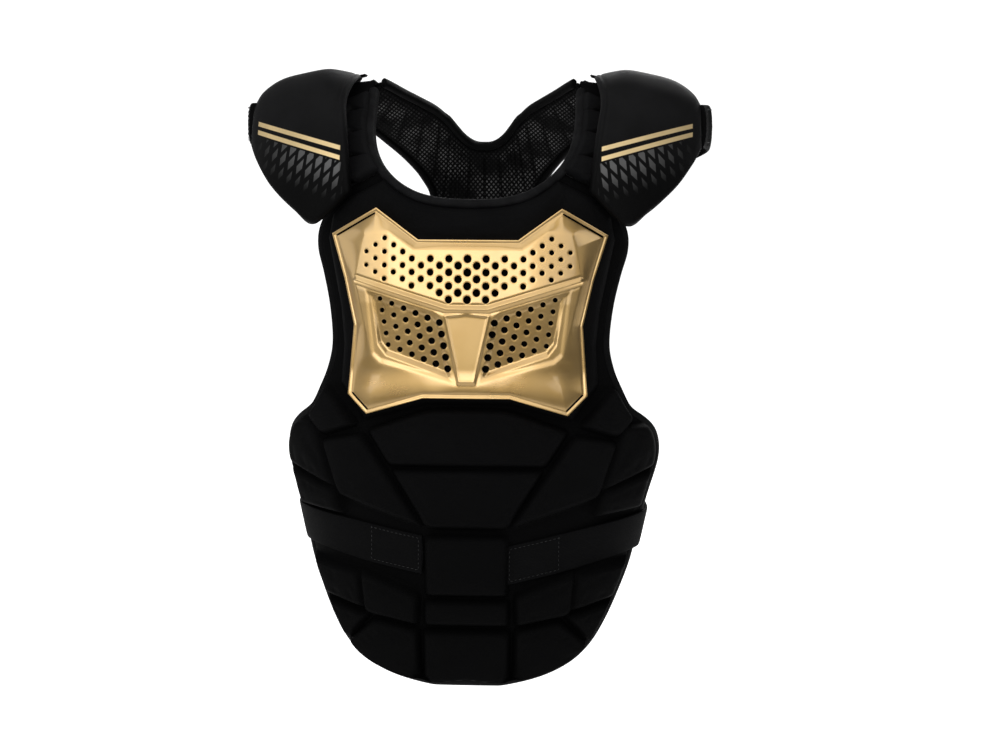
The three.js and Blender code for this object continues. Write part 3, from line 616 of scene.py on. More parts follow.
class Graph:
    """The node tree of one material or of the world."""

    def __init__(self, name: str, world: bool = False) -> None:
        """Starts an empty tree in a new material or a new world."""
        self.owner = (bpy.data.worlds if world else bpy.data.materials).new(name)
        self.owner.use_nodes = True
        self.tree = self.owner.node_tree
        self.tree.nodes.clear()

    def node(self, kind: str, settings: dict[str, Any], inputs: dict[Any, Any]) -> bpy.types.Node:
        """Adds any node.

        Args:
            kind: the node's type.
            settings: its own settings, set first.
            inputs: values or links of its sockets, by name or number.

        Returns:
            The new node.
        """
        node = self.tree.nodes.new(kind)
        for key, setting in settings.items():
            setattr(node, key, setting)
        for key, given in inputs.items():
            if isinstance(given, Value):
                self.tree.links.new(given.socket, node.inputs[key])
            else:
                node.inputs[key].default_value = given
        return node

    def value(self, kind: str, output: Any, settings: dict[str, Any], inputs: dict[Any, Any]) -> Value:
        """Adds a node and gives one of its outputs."""
        return Value(self, self.node(kind, settings, inputs).outputs[output])

    def parts(self, spot: Value) -> tuple[Value, Value, Value]:
        """The three numbers of a vector."""
        first, second, third = self.node("ShaderNodeSeparateXYZ", {}, {0: spot}).outputs
        return Value(self, first), Value(self, second), Value(self, third)

    def place(self) -> tuple[Value, Value, Value]:
        """Where a point lies in the object's frame: x, y and z in metres."""
        return self.parts(self.value("ShaderNodeTexCoord", "Object", {}, {}))

    def cloth(self) -> tuple[Value, Value]:
        """Where a point lies on the piece's own cloth, in metres."""
        return self.parts(self.value("ShaderNodeUVMap", 0, {"uv_map": "cloth"}, {}))[:2]

    def recess_shade(self) -> Value:
        """How deep in a groove a point lies, from 0 to 1, where the materials paint shade; 0 on pieces without
        grooves.
        """
        return self.value("ShaderNodeAttribute", "Fac", {"attribute_name": "recess_shade"}, {})

    def noise(self, scale: float, detail: float, stretch: Sequence[float] = (1.0, 1.0, 1.0)) -> Value:
        """Soft noise in the object's frame.

        Args:
            scale: patches in a metre.
            detail: how many finer layers it has.
            stretch: how much closer the patches lie along each axis.

        Returns:
            The noise, from 0 to 1.
        """
        spot = self.value("ShaderNodeTexCoord", "Object", {}, {})
        placed = self.value("ShaderNodeMapping", 0, {}, {"Vector": spot, "Scale": tuple(stretch)})
        inputs = {"Vector": placed, "Scale": scale, "Detail": detail, "Roughness": 0.55}
        return self.value("ShaderNodeTexNoise", 0, {}, inputs)

    def mix(self, share: Any, first: Any, second: Any) -> Value:
        """A colour between two colours."""
        inputs = {0: share, 6: first, 7: second}
        return self.value("ShaderNodeMix", 2, {"data_type": "RGBA"}, inputs)

    def finish(self, surface: dict[str, Any], relief: Value, depth: float) -> Material:
        """Adds the shader, with a relief in the normal.

        Args:
            surface: values or links of the shader's sockets.
            relief: height from 0 to 1.
            depth: what a height of 1 stands for, in metres.

        Returns:
            The finished material.
        """
        raised = {"Height": relief, "Strength": 1.0, "Distance": depth}
        normal = self.value("ShaderNodeBump", 0, {}, raised)
        shader = self.value("ShaderNodeBsdfPrincipled", 0, {}, surface | {"Normal": normal})
        self.node("ShaderNodeOutputMaterial", {}, {"Surface": shader})
        return self.owner


def grey(level: float, tint: float = 1.06) -> Colour:
    """A grey that leans a little to blue, or a plain one with a tint of 1."""
    return (level, level, level * tint, 1.0)


@dataclass(frozen=True)
class PaddedCloth:
    """Close-knit black cloth over foam: a fine knit in the relief and soft patches of wear.

    With a hem share below 1 it darkens towards the hem, and grooves darken on every piece: both are painted shade.
    """

    name: str = "padded_cloth"
    dark: float = 0.0036
    light: float = 0.0054
    roughness: float = 0.62
    knit: float = 0.0011
    depth: float = 0.00016
    hem_shade_share: float = 1.0
    hem_shade_fade: Duo = (-0.6, -0.15)
    groove_shade_share: float = 0.3
    patch_scale: float = 28.0
    fibre_scale: float = 900.0

    def knit_relief(self, graph: Graph) -> Value:
        """Rows of small stitches, crossed on all three axes so that no side shows stripes."""
        x, y, z = graph.place()
        turn = 2 * math.pi / self.knit
        return ((x + y) * turn).sine() * ((z + y * 0.35) * turn).sine() * 0.5 + 0.5

    def make(self) -> Material:
        """Builds the material."""
        graph = Graph(self.name)
        patches = graph.noise(self.patch_scale, 3.0)
        fibres = graph.noise(self.fibre_scale, 2.0)
        tone = patches * 0.6 + fibres * 0.4
        relief = self.knit_relief(graph) * 0.7 + fibres * 0.3
        cover = graph.mix(tone.between(0.3, 0.7), grey(self.dark), grey(self.light))
        # Painted shade: the cloth darkens towards the hem, where less light falls from above.
        if self.hem_shade_share < 1:
            height = graph.place()[2]
            cover = graph.mix(height.between(*self.hem_shade_fade), grey(self.dark * self.hem_shade_share), cover)
        # Painted shade: the cloth is darkened in grooves, cuts and channels, by their depths kept on the mesh.
        surface = {
            "Base Color": graph.mix(graph.recess_shade(), cover, grey(self.dark * self.groove_shade_share)),
            "Roughness": self.roughness + patches * 0.16,
            "Specular IOR Level": 0.035,
        }
        return graph.finish(surface, relief, self.depth)


@dataclass(frozen=True)
class PrintedCapCloth:
    """The caps' smooth cloth, printed on its front with two gold stripes over a fading lattice of slanted cells.

    A stripe is given by its height at its inner end and its slope, and each family of lattice lines by its pitch
    in height and across and by its shift.
    """

    name: str = "printed_cap_cloth"
    dark: float = 0.007
    light: float = 0.0105
    gold: Colour = (0.95, 0.72, 0.38, 1.0)
    lattice_tone: float = 0.13
    upper: Duo = (-0.0535, 0.275)
    lower: Duo = (-0.063, 0.29)
    inner_end: float = 0.1245
    outer_end: float = 0.2115
    half: float = 0.0021
    slanting: Trio = (0.0125, 0.0099, 0.43)
    upright: Trio = (0.009, 0.076, 0.51)
    front: Duo = (-0.02, -0.034)
    fade_down: Duo = (0.045, 0.008)
    fade_out: Duo = (0.215, 0.165)
    lattice_top: Duo = (0.0035, 0.0045)
    lattice_inner: Duo = (0.121, 0.126)
    cell: Trio = (0.12, 0.22, 0.02)
    shaded: Duo = (-0.1, -0.01)
    painted_shade_share: float = 0.2
    patch_scale: float = 24.0

    def stripe(self, reach: Value, z: Value, line: Duo) -> tuple[Value, Value]:
        """A slanting stripe.

        Args:
            reach: distance from the middle of the object.
            z: height.
            line: the stripe's height at its inner end, and its slope.

        Returns:
            The stripe's strength, and how far below its middle a point lies.
        """
        middle = (reach - self.inner_end) * line[1] + line[0]
        below = middle - z
        return abs(below).between(self.half + 0.0004, self.half - 0.0002), below

    def make(self) -> Material:
        """Builds the material."""
        graph = Graph(self.name)
        x, y, z = graph.place()
        reach = abs(x)
        facing = y.between(*self.front)
        spread = reach.between(self.inner_end, self.inner_end + 0.0008)
        spread = spread * reach.between(self.outer_end + 0.0004, self.outer_end - 0.0004)
        top, _ = self.stripe(reach, z, self.upper)
        low, below = self.stripe(reach, z, self.lower)
        gold = top.at_least(low) * spread * facing
        first = abs((below / self.slanting[0] - reach / self.slanting[1] + self.slanting[2]).fraction() - 0.5)
        second = abs((reach / self.upright[0] - below / self.upright[1] + self.upright[2]).fraction() - 0.5)
        fade = below.between(*self.fade_down) * reach.between(*self.fade_out)
        growth, least, soft = self.cell
        diamonds = (fade * growth + least - first.at_least(second)).between(-soft, soft)
        bounds = below.between(*self.lattice_top) * reach.between(*self.lattice_inner)
        lattice = diamonds * fade * bounds * facing
        patches = graph.noise(self.patch_scale, 3.0)
        cloth = graph.mix(patches.between(0.3, 0.7), grey(self.dark), grey(self.light))
        # Painted shade: the cloth darkens towards the bottom of the cap, as under light from above.
        cloth = graph.mix(z.between(*self.shaded), grey(self.dark * self.painted_shade_share), cloth)
        printed = graph.mix(lattice, cloth, grey(self.lattice_tone, 1.0))
        weave = PaddedCloth().knit_relief(graph)
        surface = {
            "Base Color": graph.mix(gold, printed, self.gold),
            "Metallic": gold * 0.5 + lattice * 0.85,
            "Roughness": (0.5 + patches * 0.14) * (1 - gold) + gold * 0.36 - lattice * 0.12,
            "Specular IOR Level": 0.08,
        }
        return graph.finish(surface, weave * (1 - gold) * 0.6 + gold * 0.9, 0.00012)


@dataclass(frozen=True)
class RolledTape:
    """Twill tape rolled round an edge, sewn down along both sides."""

    name: str = "rolled_tape"
    tone: float = 0.011
    twill: float = 0.0012
    patch_scale: float = 60.0

    def make(self) -> Material:
        """Builds the material: diagonal twill and lengthwise creases on the tape's own cloth."""
        graph = Graph(self.name)
        along, across = graph.cloth()
        turn = 2 * math.pi / self.twill
        twill = ((along + across) * turn).sine() * 0.5 + 0.5
        patches = graph.noise(self.patch_scale, 3.0)
        surface = {
            "Base Color": graph.mix(patches.between(0.3, 0.75), grey(self.tone * 0.7), grey(self.tone * 1.5)),
            "Roughness": 0.5 + patches * 0.2,
            "Specular IOR Level": 0.06,
        }
        return graph.finish(surface, twill * 0.6 + patches * 0.4, 0.00018)


@dataclass(frozen=True)
class ElasticWeb:
    """Woven elastic: ribs along the strap, crossed by fine picks."""

    name: str = "elastic_web"
    tone: float = 0.0036
    rib: float = 0.0015
    pick: float = 0.0011
    wear_scale: float = 45.0

    def make(self) -> Material:
        """Builds the material on the strap's own cloth."""
        graph = Graph(self.name)
        along, across = graph.cloth()
        ribs = abs((across * (math.pi / self.rib)).sine())
        picks = (along * (2 * math.pi / self.pick)).sine() * 0.5 + 0.5
        wear = graph.noise(self.wear_scale, 4.0)
        relief = ribs * 0.65 + picks * ribs * 0.35
        surface = {
            "Base Color": graph.mix(wear.between(0.3, 0.75), grey(self.tone * 0.88), grey(self.tone * 1.15)),
            "Roughness": 0.66 + wear * 0.2,
            "Specular IOR Level": 0.05,
        }
        return graph.finish(surface, relief, 0.00014)


@dataclass(frozen=True)
class SpacerMesh:
    """Open black mesh over grey foam: the foam shows in the diamond holes between the strands."""

    name: str = "spacer_mesh"
    strand: float = 0.003
    foam: float = 0.14
    cell: Duo = (0.0047, 0.0056)
    slant: float = 0.4
    hole: Duo = (0.64, 0.4)
    patch_scale: float = 34.0
    patch_edge: Duo = (0.37, 0.66)

    def make(self) -> Material:
        """Builds the material: two families of slanting strands in the plane of the back."""
        graph = Graph(self.name)
        x, y, z = graph.place()
        rise = z - y * self.slant
        first = abs((x / self.cell[0] + rise / self.cell[1]).fraction() - 0.5) * 2
        second = abs((x / self.cell[0] - rise / self.cell[1]).fraction() - 0.5) * 2
        patches = graph.noise(self.patch_scale, 2.0)
        # The foam in the holes is darker in random patches, and darker again as painted shade in the channels and at
        # the rim.
        clear = patches.between(*self.patch_edge) * (1 - graph.recess_shade())
        hole = first.at_least(second).between(*self.hole)
        foam = graph.mix(clear, grey(self.foam * 0.06, 1.0), grey(self.foam, 1.0))
        surface = {
            "Base Color": graph.mix(hole, grey(self.strand), foam),
            "Roughness": 0.72 + patches * 0.15,
            "Specular IOR Level": 0.05,
        }
        return graph.finish(surface, 1 - hole, 0.0006)


@dataclass(frozen=True)
class MetallisedPlastic:
    """Gold metallised plastic under a clear coat: a satin mirror with faint flow lines from moulding and soft wear."""

    name: str = "gold_metallised_plastic"
    gold: Colour = (0.77, 0.505, 0.19, 1.0)
    deep: Colour = (0.68, 0.42, 0.135, 1.0)
    roughness: float = 0.22
    flow_scale: float = 60.0
    flow_stretch: Trio = (0.35, 1.0, 1.6)
    haze_scale: float = 14.0
    grain_scale: float = 700.0

    def make(self) -> Material:
        """Builds the material."""
        graph = Graph(self.name)
        flow = graph.noise(self.flow_scale, 4.0, self.flow_stretch)
        haze = graph.noise(self.haze_scale, 3.0)
        grain = graph.noise(self.grain_scale, 2.0)
        surface = {
            "Base Color": graph.mix(haze.between(0.35, 0.7), self.deep, self.gold),
            "Metallic": 1.0,
            "Roughness": self.roughness + haze * 0.08 + flow * 0.05,
            "Coat Weight": 1.0,
            "Coat IOR": 1.75,
            "Coat Roughness": 0.1,
        }
        return graph.finish(surface, flow * 0.7 + grain * 0.3, 0.000005)


@dataclass(frozen=True)
class Thread:
    """Twisted black sewing thread with a slight gloss."""

    name: str = "sewing_thread"
    tone: float = 0.013
    twist: float = 0.0006

    def make(self) -> Material:
        """Builds the material: the thread's twist runs slanting over each stitch."""
        graph = Graph(self.name)
        x, y, z = graph.place()
        twist = ((x + y + z) * (2 * math.pi / self.twist)).sine() * 0.5 + 0.5
        surface = {
            "Base Color": graph.mix(twist, grey(self.tone * 0.6), grey(self.tone)),
            "Roughness": 0.42 + twist * 0.1,
        }
        return graph.finish(surface, twist, 0.0001)


@dataclass
class Finishes:
    """The materials of the whole protector, each made once."""

    front: Material = field(default_factory=PaddedCloth("front_cloth", 0.0042, 0.0062, hem_shade_share=0.35).make)
    cloth: Material = field(default_factory=PaddedCloth().make)
    lining: Material = field(
        default_factory=PaddedCloth("lining_cloth", 0.008, 0.013, roughness=0.75, knit=0.0016, depth=0.0003).make
    )
    # Painted light: the straps' copy of the cloth is lighter than the front's, standing in for light on the straps.
    strap: Material = field(default_factory=PaddedCloth("strap_cloth", 0.0085, 0.0125).make)
    cap: Material = field(default_factory=PrintedCapCloth().make)
    tape: Material = field(default_factory=RolledTape().make)
    edge_tape: Material = field(default_factory=RolledTape("edge_tape", 0.004).make)
    yoke_tape: Material = field(default_factory=RolledTape("yoke_tape", 0.0016).make)
    web: Material = field(default_factory=ElasticWeb().make)
    mesh: Material = field(default_factory=SpacerMesh().make)
    gold: Material = field(default_factory=MetallisedPlastic().make)
    thread: Material = field(default_factory=Thread().make)


def settle(piece: Piece, nodes: Sequence[str] = ()) -> None:
    """Lets a piece ride on the body and stand for its solids, and reports it."""
    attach(piece, BODY)
    if nodes:
        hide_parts(*nodes)
    LOG.info("%s: %d faces", piece.name, len(piece.data.polygons))


@dataclass(frozen=True)
class Twins:
    """A piece and its mirror image: their names, nodes and slot, and how tightly they are filled where padded."""

    name: str
    node: str
    slot: Slot
    fill: float | None = None

    def build(self, surface: Surface, materials: Sequence[Material], recess_shade: Array | None = None) -> None:
        """Makes both pieces from the surface of the wearer's left one."""
        for side in Side:
            piece = surface.on(side).piece(f"{self.name}_{side.word}", materials, recess_shade=recess_shade)
            settle(piece, [f"{self.node}_{side.word}"])


# The protector


@dataclass(frozen=True)
class WornForm:
    """The wearer's form that everything is shaped on.

    At each height the section is a superellipse, |x / half width| ** power + |y / depth| ** power = 1. Its
    depth fades to nothing at the shoulder line, which falls outwards.
    """

    heights: tuple[float, ...] = (60, -100, -200, -345, -440, -500, -580)
    half_widths: tuple[float, ...] = (166, 168, 170, 180, 163, 156, 150)
    fronts: tuple[float, ...] = (92, 97, 104, 111, 111, 106, 96)
    backs: tuple[float, ...] = (100, 104, 110, 108, 104, 100, 96)
    power: float = 2.4
    shoulder: float = 8
    shoulder_at: float = 100
    shoulder_fall: float = 0.35
    shoulder_reach: Duo = (40, 150)
    front_slope: Duo = (125, 1.8)
    back_slope: Duo = (100, 1.6)

    def section(self, z: Array) -> tuple[Array, Array, Array]:
        """Half width, front depth and back depth at a height."""
        place = np.interp(-np.asarray(z, float), -np.array(self.heights, float), np.arange(len(self.heights)))
        read = spline(np.array([self.half_widths, self.fronts, self.backs], float).T, place)
        return read[..., 0], read[..., 1], read[..., 2]

    def shoulder_line(self, x: Array) -> Array:
        """Height of the shoulder line."""
        return self.shoulder - self.shoulder_fall * (np.clip(np.abs(x), *self.shoulder_reach) - self.shoulder_at)

    def depth(self, x: Array, z: Array, full: Array, slope: Duo, offset: Array) -> Array:
        """Depth at (x, z): the section's depth, rounded off sideways and up to the shoulder line.

        Args:
            x: places across.
            z: places in height.
            full: the depth in the middle.
            slope: how far below the shoulder line the depth is full, and the power of its fall.
            offset: how far the form is grown all round.

        Returns:
            The depth in millimetres.
        """
        across = np.minimum(np.abs(x) / (self.section(z)[0] + offset), 1)
        rounded = (1 - across**self.power) ** (1 / self.power)
        drop = np.clip((self.shoulder_line(x) - z) / slope[0], 0, 1)
        return (full + offset) * rounded * (1 - (1 - drop) ** slope[1])

    def front(self, x: Array, z: Array, offset: Array = 0.0) -> Array:
        """Points of the front."""
        depth = self.depth(x, z, self.section(z)[1], self.front_slope, offset)
        return np.stack([x, -depth, z], axis=-1)

    def back(self, x: Array, z: Array, offset: Array = 0.0) -> Array:
        """Points of the back."""
        depth = self.depth(x, z, self.section(z)[2], self.back_slope, offset)
        return np.stack([x, depth, z], axis=-1)


@dataclass(frozen=True)
class NeckOpening:
    """The opening for the neck, a superellipse open at the top, and the straight roots of the straps beside it."""

    half_width: float = 101
    centre: float = -20
    depth: float = 87
    power: float = 2.5
    root_inner: float = 84
    root_outer: float = 121
    root_outer_height: float = -97

    def width(self, z: Array) -> Array:
        """Half width of the opening at a height."""
        down = np.clip((self.centre - z) / self.depth, 0, 1)
        return self.half_width * (1 - down**self.power) ** (1 / self.power)

    def height(self, x: Array) -> Array:
        """Height of the neckline."""
        across = np.minimum(np.abs(x) / self.half_width, 1)
        return self.centre - self.depth * (1 - across**self.power) ** (1 / self.power)

    def top(self, x: Array) -> Array:
        """Upper edge of the front: the neckline, then the root of the shoulder strap."""
        reach = np.abs(x)
        share = (reach - self.root_inner) / (self.root_outer - self.root_inner)
        start = self.height(np.asarray(self.root_inner, float))
        return np.where(reach <= self.root_inner, self.height(reach), lerp(start, self.root_outer_height, share))


@dataclass
class ClothPuff:
    """Blender's cloth, blown up from behind a sheet that is held at its seams."""

    pressure: float = 2.5
    frames: int = 18
    most: float = 2.2
    growth: float = 0.004
    quality: int = 6
    mass: float = 0.2
    stretch: float = 12.0
    shear: float = 4.0
    bending: float = 0.4

    def swell(self, grid: Array, held: Array, out: Array) -> Array:
        """How far the cloth moves away from what it covers.

        Args:
            grid: the sheet's points in millimetres, rows by columns.
            held: True where the sheet is sewn down.
            out: unit vectors out of the sheet.

        Returns:
            The way out at each point in millimetres, from minus a quarter of the most to the most.
        """
        rows, columns = held.shape
        flat = grid.reshape(-1, 3)
        quads = grid_quads(rows, columns)
        surface = Surface(flat, [quads], [np.zeros(quads.shape + (2,))])
        first = np.cross(flat[quads[:, 1]] - flat[quads[:, 0]], flat[quads[:, 3]] - flat[quads[:, 0]])
        if np.sum(first * out.reshape(-1, 3)[quads[:, 0]]) < 0:
            surface = surface.turned()
        sheet = surface.piece("swelling_sheet", [])
        seams = sheet.vertex_groups.new(name="seams")
        seams.add(np.flatnonzero(held.ravel()).tolist(), 1.0, "REPLACE")
        cloth = sheet.modifiers.new("swell", "CLOTH")
        settings = cloth.settings
        settings.vertex_group_mass = "seams"
        settings.quality = self.quality
        settings.mass = self.mass
        settings.tension_stiffness = settings.compression_stiffness = self.stretch
        settings.shear_stiffness = self.shear
        settings.bending_stiffness = self.bending
        settings.use_pressure = True
        settings.uniform_pressure_force = self.pressure
        settings.shrink_min = -self.growth
        settings.effector_weights.gravity = 0.0
        cloth.collision_settings.use_collision = False
        cloth.point_cache.frame_start = 1
        cloth.point_cache.frame_end = self.frames
        scene = bpy.context.scene
        for frame in range(1, self.frames + 1):
            scene.frame_set(frame)
        settled = sheet.evaluated_get(bpy.context.evaluated_depsgraph_get()).data
        places = np.empty(rows * columns * 3, np.float32)
        settled.vertices.foreach_get("co", places)
        moved = np.sum((places.reshape(grid.shape) / MM - grid) * out, axis=-1)
        bpy.data.objects.remove(sheet, do_unlink=True)
        scene.frame_set(1)
        return np.clip(np.nan_to_num(moved), -self.most / 4, self.most)


def finer(coarse: Array, rows: int, columns: int) -> Array:
    """A coarse field of numbers read on a finer grid, on smooth curves along both ways."""
    down = spline(coarse, np.linspace(0, coarse.shape[0] - 1, rows))
    return spline(down.T, np.linspace(0, coarse.shape[1] - 1, columns)).T


@dataclass
class QuiltedFront:
    """The padded front: one cover drawn over foam blocks, flat grooves between them, and a bound edge.

    The outline's rows are a height and the half width there. Heights over the inner face are backing, edge_height,
    groove and foam_top. The blocks are outlines in (x, z): half outlines in the middle, whole ones at the sides.
    """

    form: WornForm
    neck: NeckOpening
    outline: Pairs = (
        (-564, 33), (-557, 64), (-544, 92), (-527, 110.5), (-504, 124.5), (-477, 136.5), (-449, 147),
        (-420, 154), (-385, 163.5), (-350, 174), (-328, 171.5), (-315, 161), (-305, 148.5), (-285, 138.5),
        (-265, 130.5), (-240, 126), (-205, 129), (-170, 136), (-140, 142.5), (-118, 139.5), (-97, 121),
    )
    follows_neck_from: float = -215
    backing: float = 7.0
    cover: float = 0.4
    edge_height: float = 7.2
    edge_reach: float = 5.0
    foam_top: float = 20.0
    groove: float = 8.2
    shoulder: float = 6.5
    shoulder_power: float = 2.3
    spread: float = 3.3
    rounding: float = 1.8
    block_drop: float = 0.6
    overhang: float = 5.0
    least_lean: float = 0.05
    crown: float = 1.1
    crown_reach: float = 26.0
    chest_spread: float = 2.0
    chest_slope: Duo = (11.0, 2.2)
    chest_drop: float = 0.3
    neck_margin: float = 5.0
    neck_places: tuple[float, float, int] = (-50, 82, 34)
    neck_seam: Trio = (1.2, 10.5, 1.3)
    neck_seam_reach: Duo = (88, 95)
    plate_margin: Duo = (-9, -2)
    unevenness: float = 0.15
    recess_shade: float = 0.5
    recess_shade_edge: Duo = (-0.3, 2.6)
    sewn_within: float = 2.5
    cloth_step: int = 3
    step: int = 4
    rows: int = 313
    columns: int = 241
    rim_points: int = 260
    hem_points: int = 60
    centre_blocks: tuple[Pairs, ...] = (
        ((37, -303), (92, -323), (73, -354)),
        ((69, -361), (37, -413)),
        ((37, -424), (37, -478)),
        ((38, -486), (38, -507)),
        ((39, -515), (38, -568)),
    )
    side_blocks: dict[str, Pairs] = field(
        default_factory=lambda: {
            "armpit_block": ((136, -284), (152, -312), (139, -327), (109, -317)),
            "rib_block": ((101, -328), (137, -335), (121, -384), (45, -411)),
            "flank_block_upper": ((147, -320), (182, -318), (184, -350), (127, -377)),
            "flank_block_lower": ((184, -357), (170, -393), (121, -402), (126, -382)),
            "waist_block": ((99, -459), (95, -497), (48, -507), (47, -480)),
            "waist_block_outer": ((158, -448), (142, -479), (98, -493), (102, -460)),
            "hip_block": ((140, -486), (116, -526), (95, -501)),
            "hem_block": ((86, -505), (114, -532), (92, -552), (46, -567), (47, -514)),
        }
    )
    chest_side: Pairs = (
        (116, -102), (131, -118), (135, -140), (122, -205), (118.5, -240), (121, -278), (98, -311), (40, -295),
        (-50, -295),
    )

    @property
    def span(self) -> Duo:
        """Heights of the outline's lowest and highest rows."""
        return self.outline[0][0], self.outline[-1][0]

    def edge_at(self, row: Array) -> Array:
        """Half width of the front at a height, on a smooth curve through the outline."""
        fine = np.linspace(0, len(self.outline) - 1, 2000)
        return np.interp(row, *spline(np.array(self.outline, float), fine).T)

    def sheet(self, u: Array, row: Array) -> Array:
        """The inner face: u from edge to edge, row the height at the edge, bent up to the neckline near the top."""
        inside = np.clip(row, *self.span)
        half = self.form.section(inside)[0]
        turn = np.arcsin(np.minimum(self.edge_at(inside) / half, 1) ** (self.form.power / 2))
        x = np.sign(u) * half * np.abs(np.sin(u * turn)) ** (2 / self.form.power)
        top = self.span[1]
        follows = smooth(inside, self.follows_neck_from, top)
        return self.form.front(x, row + follows * (self.neck.top(x) - top))

    def out(self, u: Array, row: Array) -> Array:
        """Unit vectors out of the front."""
        step, usual_width = 0.5, 150
        turn = step / usual_width
        across = self.sheet(u + turn, row) - self.sheet(u - turn, row)
        up = self.sheet(u, row + step) - self.sheet(u, row - step)
        return unit(np.cross(across, up))

    def chest_depth(self, x: Array, z: Array) -> Array:
        """How far inside the chest area a point lies, with the neckline as its upper edge."""
        across = np.linspace(*self.neck_places)
        neckline = np.stack([across, self.neck.height(across) - self.neck_margin], axis=-1)
        return polygon_depth(np.abs(x), z, np.concatenate([neckline, self.chest_side]))

    def block_depths(self, x: Array, z: Array) -> list[Array]:
        """How far inside each foam block a point lies."""
        outlines = [tuple(block) + tuple((-a, b) for a, b in reversed(block)) for block in self.centre_blocks]
        middle = [convex_depth(x, z, outline, self.rounding) for outline in outlines]
        return middle + [convex_depth(np.abs(x), z, block, self.rounding) for block in self.side_blocks.values()]

    def quilt(self, x: Array, z: Array) -> tuple[Array, Array]:
        """Height of the cover over the inner face: a pillow over each block and a groove between.

        Args:
            x: places across.
            z: places in height.

        Returns:
            The height in millimetres, and how far inside the nearest block each place lies.
        """
        rise = self.foam_top - self.groove
        height = np.full(x.shape, self.groove)
        deepest = np.full(x.shape, -np.inf)
        for depth in self.block_depths(x, z):
            inside = depth + self.spread
            pillow = 1 - (1 - ramp(inside, 0, self.shoulder)) ** self.shoulder_power
            crown = self.crown * (1 - (1 - ramp(inside, 0, self.crown_reach)) ** 2)
            height = np.maximum(height, self.groove + rise * pillow + crown - self.block_drop)
            deepest = np.maximum(deepest, inside)
        chest = self.chest_depth(x, z) + self.chest_spread
        slope_reach, slope_power = self.chest_slope
        slope = 1 - (1 - ramp(chest, 0, slope_reach)) ** slope_power
        height = np.maximum(height, self.groove + (rise - self.chest_drop) * slope)
        sunk, below, width = self.neck_seam
        level_from, end = self.neck_seam_reach
        seam = self.neck.height(np.minimum(np.abs(x), level_from)) - z
        height -= sunk * bell(seam, below, width) * (np.abs(x) < end)
        return height, np.maximum(deepest, chest)

    def build(self, finishes: Finishes, plate: ChestPlate) -> None:
        """Builds the cover with its lining and sews it down.

        Args:
            finishes: the protector's materials.
            plate: the plate that presses the chest flat.
        """
        u, row = np.meshgrid(np.linspace(-1, 1, self.columns), np.linspace(*self.span, self.rows))
        inner = self.sheet(u, row)
        out = self.out(u, row)
        based = inner + out * (self.backing + self.cover)
        height, inside = self.quilt(based[..., 0], based[..., 2])
        pressed = polygon_depth(np.abs(based[..., 0]), based[..., 2], plate.outline)
        free = 1 - smooth(pressed, *self.plate_margin)
        slack = self.unevenness * unevenness(inner, shortest=20, longest=70, seed=5)
        height += slack * smooth(inside, 0, 8) * free
        height += self.swelling(inner + out * height[..., None], inside * free, out)
        rim = RimDistance.of(inner).nearest
        height = lerp(np.full(u.shape, self.edge_height), height, smooth(rim, 0, self.edge_reach))
        room = np.abs(inner[:, -1:, 0]) + self.overhang - np.abs(inner[..., 0])
        height = soft_least(height, room / np.maximum(np.abs(out[..., 0]), self.least_lean), blend=1.5)
        lining = inner[:: self.step, :: self.step]
        surface = closed_wall(inner + out * height[..., None], lining, (0, 1, 1))
        # Painted shade: the cloth is darkened in the grooves between the blocks and along the rim, where shade falls.
        recess_shade = self.recess_shade * (1 - smooth(inside, *self.recess_shade_edge))
        piece = surface.piece("quilted_front", [finishes.front, finishes.lining], recess_shade=recess_shade)
        sides = [f"{name}_{side.word}" for name in self.side_blocks for side in Side]
        middle = [f"belly_block_{number + 1}" for number in range(len(self.centre_blocks))]
        settle(piece, ["torso_backing", "chest_block", *middle, *sides])

    def swelling(self, cover: Array, inside: Array, out: Array) -> Array:
        """The cloth's own swelling between the seams, worked out on a coarser grid."""
        coarse = (slice(None, None, self.cloth_step),) * 2
        held = inside[coarse] < self.sewn_within
        held[[0, -1]] = True
        held[:, [0, -1]] = True
        swell = ClothPuff().swell(cover[coarse], held, out[coarse])
        return finer(swell, *cover.shape[:2])

    def rim_path(self) -> tuple[Array, Array]:
        """Points and normals round the front's edge, from the right strap's root by the hem to the left one's."""
        low, high = self.span
        rows = np.linspace(high, low, self.rim_points)
        across = np.linspace(-1, 1, self.hem_points)[1:-1]
        u = np.concatenate([np.full(len(rows), -1.0), across, np.full(len(rows), 1.0)])
        row = np.concatenate([rows, np.full(len(across), float(low)), rows[::-1]])
        return self.sheet(u, row), self.out(u * 0.999, np.clip(row, low + 1, high - 1))

    def build_edge(self, finishes: Finishes) -> None:
        """Builds the tape rolled round the edge: an oval carried along the rim."""
        path, out = self.rim_path()
        path = eased(path, passes=6)
        side = unit(np.cross(along_of(path), out))
        profile = oval(width=9.2, height=9.4, power=2.6, count=20, middle=(1.4, self.backing / 2))
        piece = sweep(path, side, out, profile, blunt=2.0).piece("edge_tape", [finishes.edge_tape])
        settle(piece, ["edge_binding"])


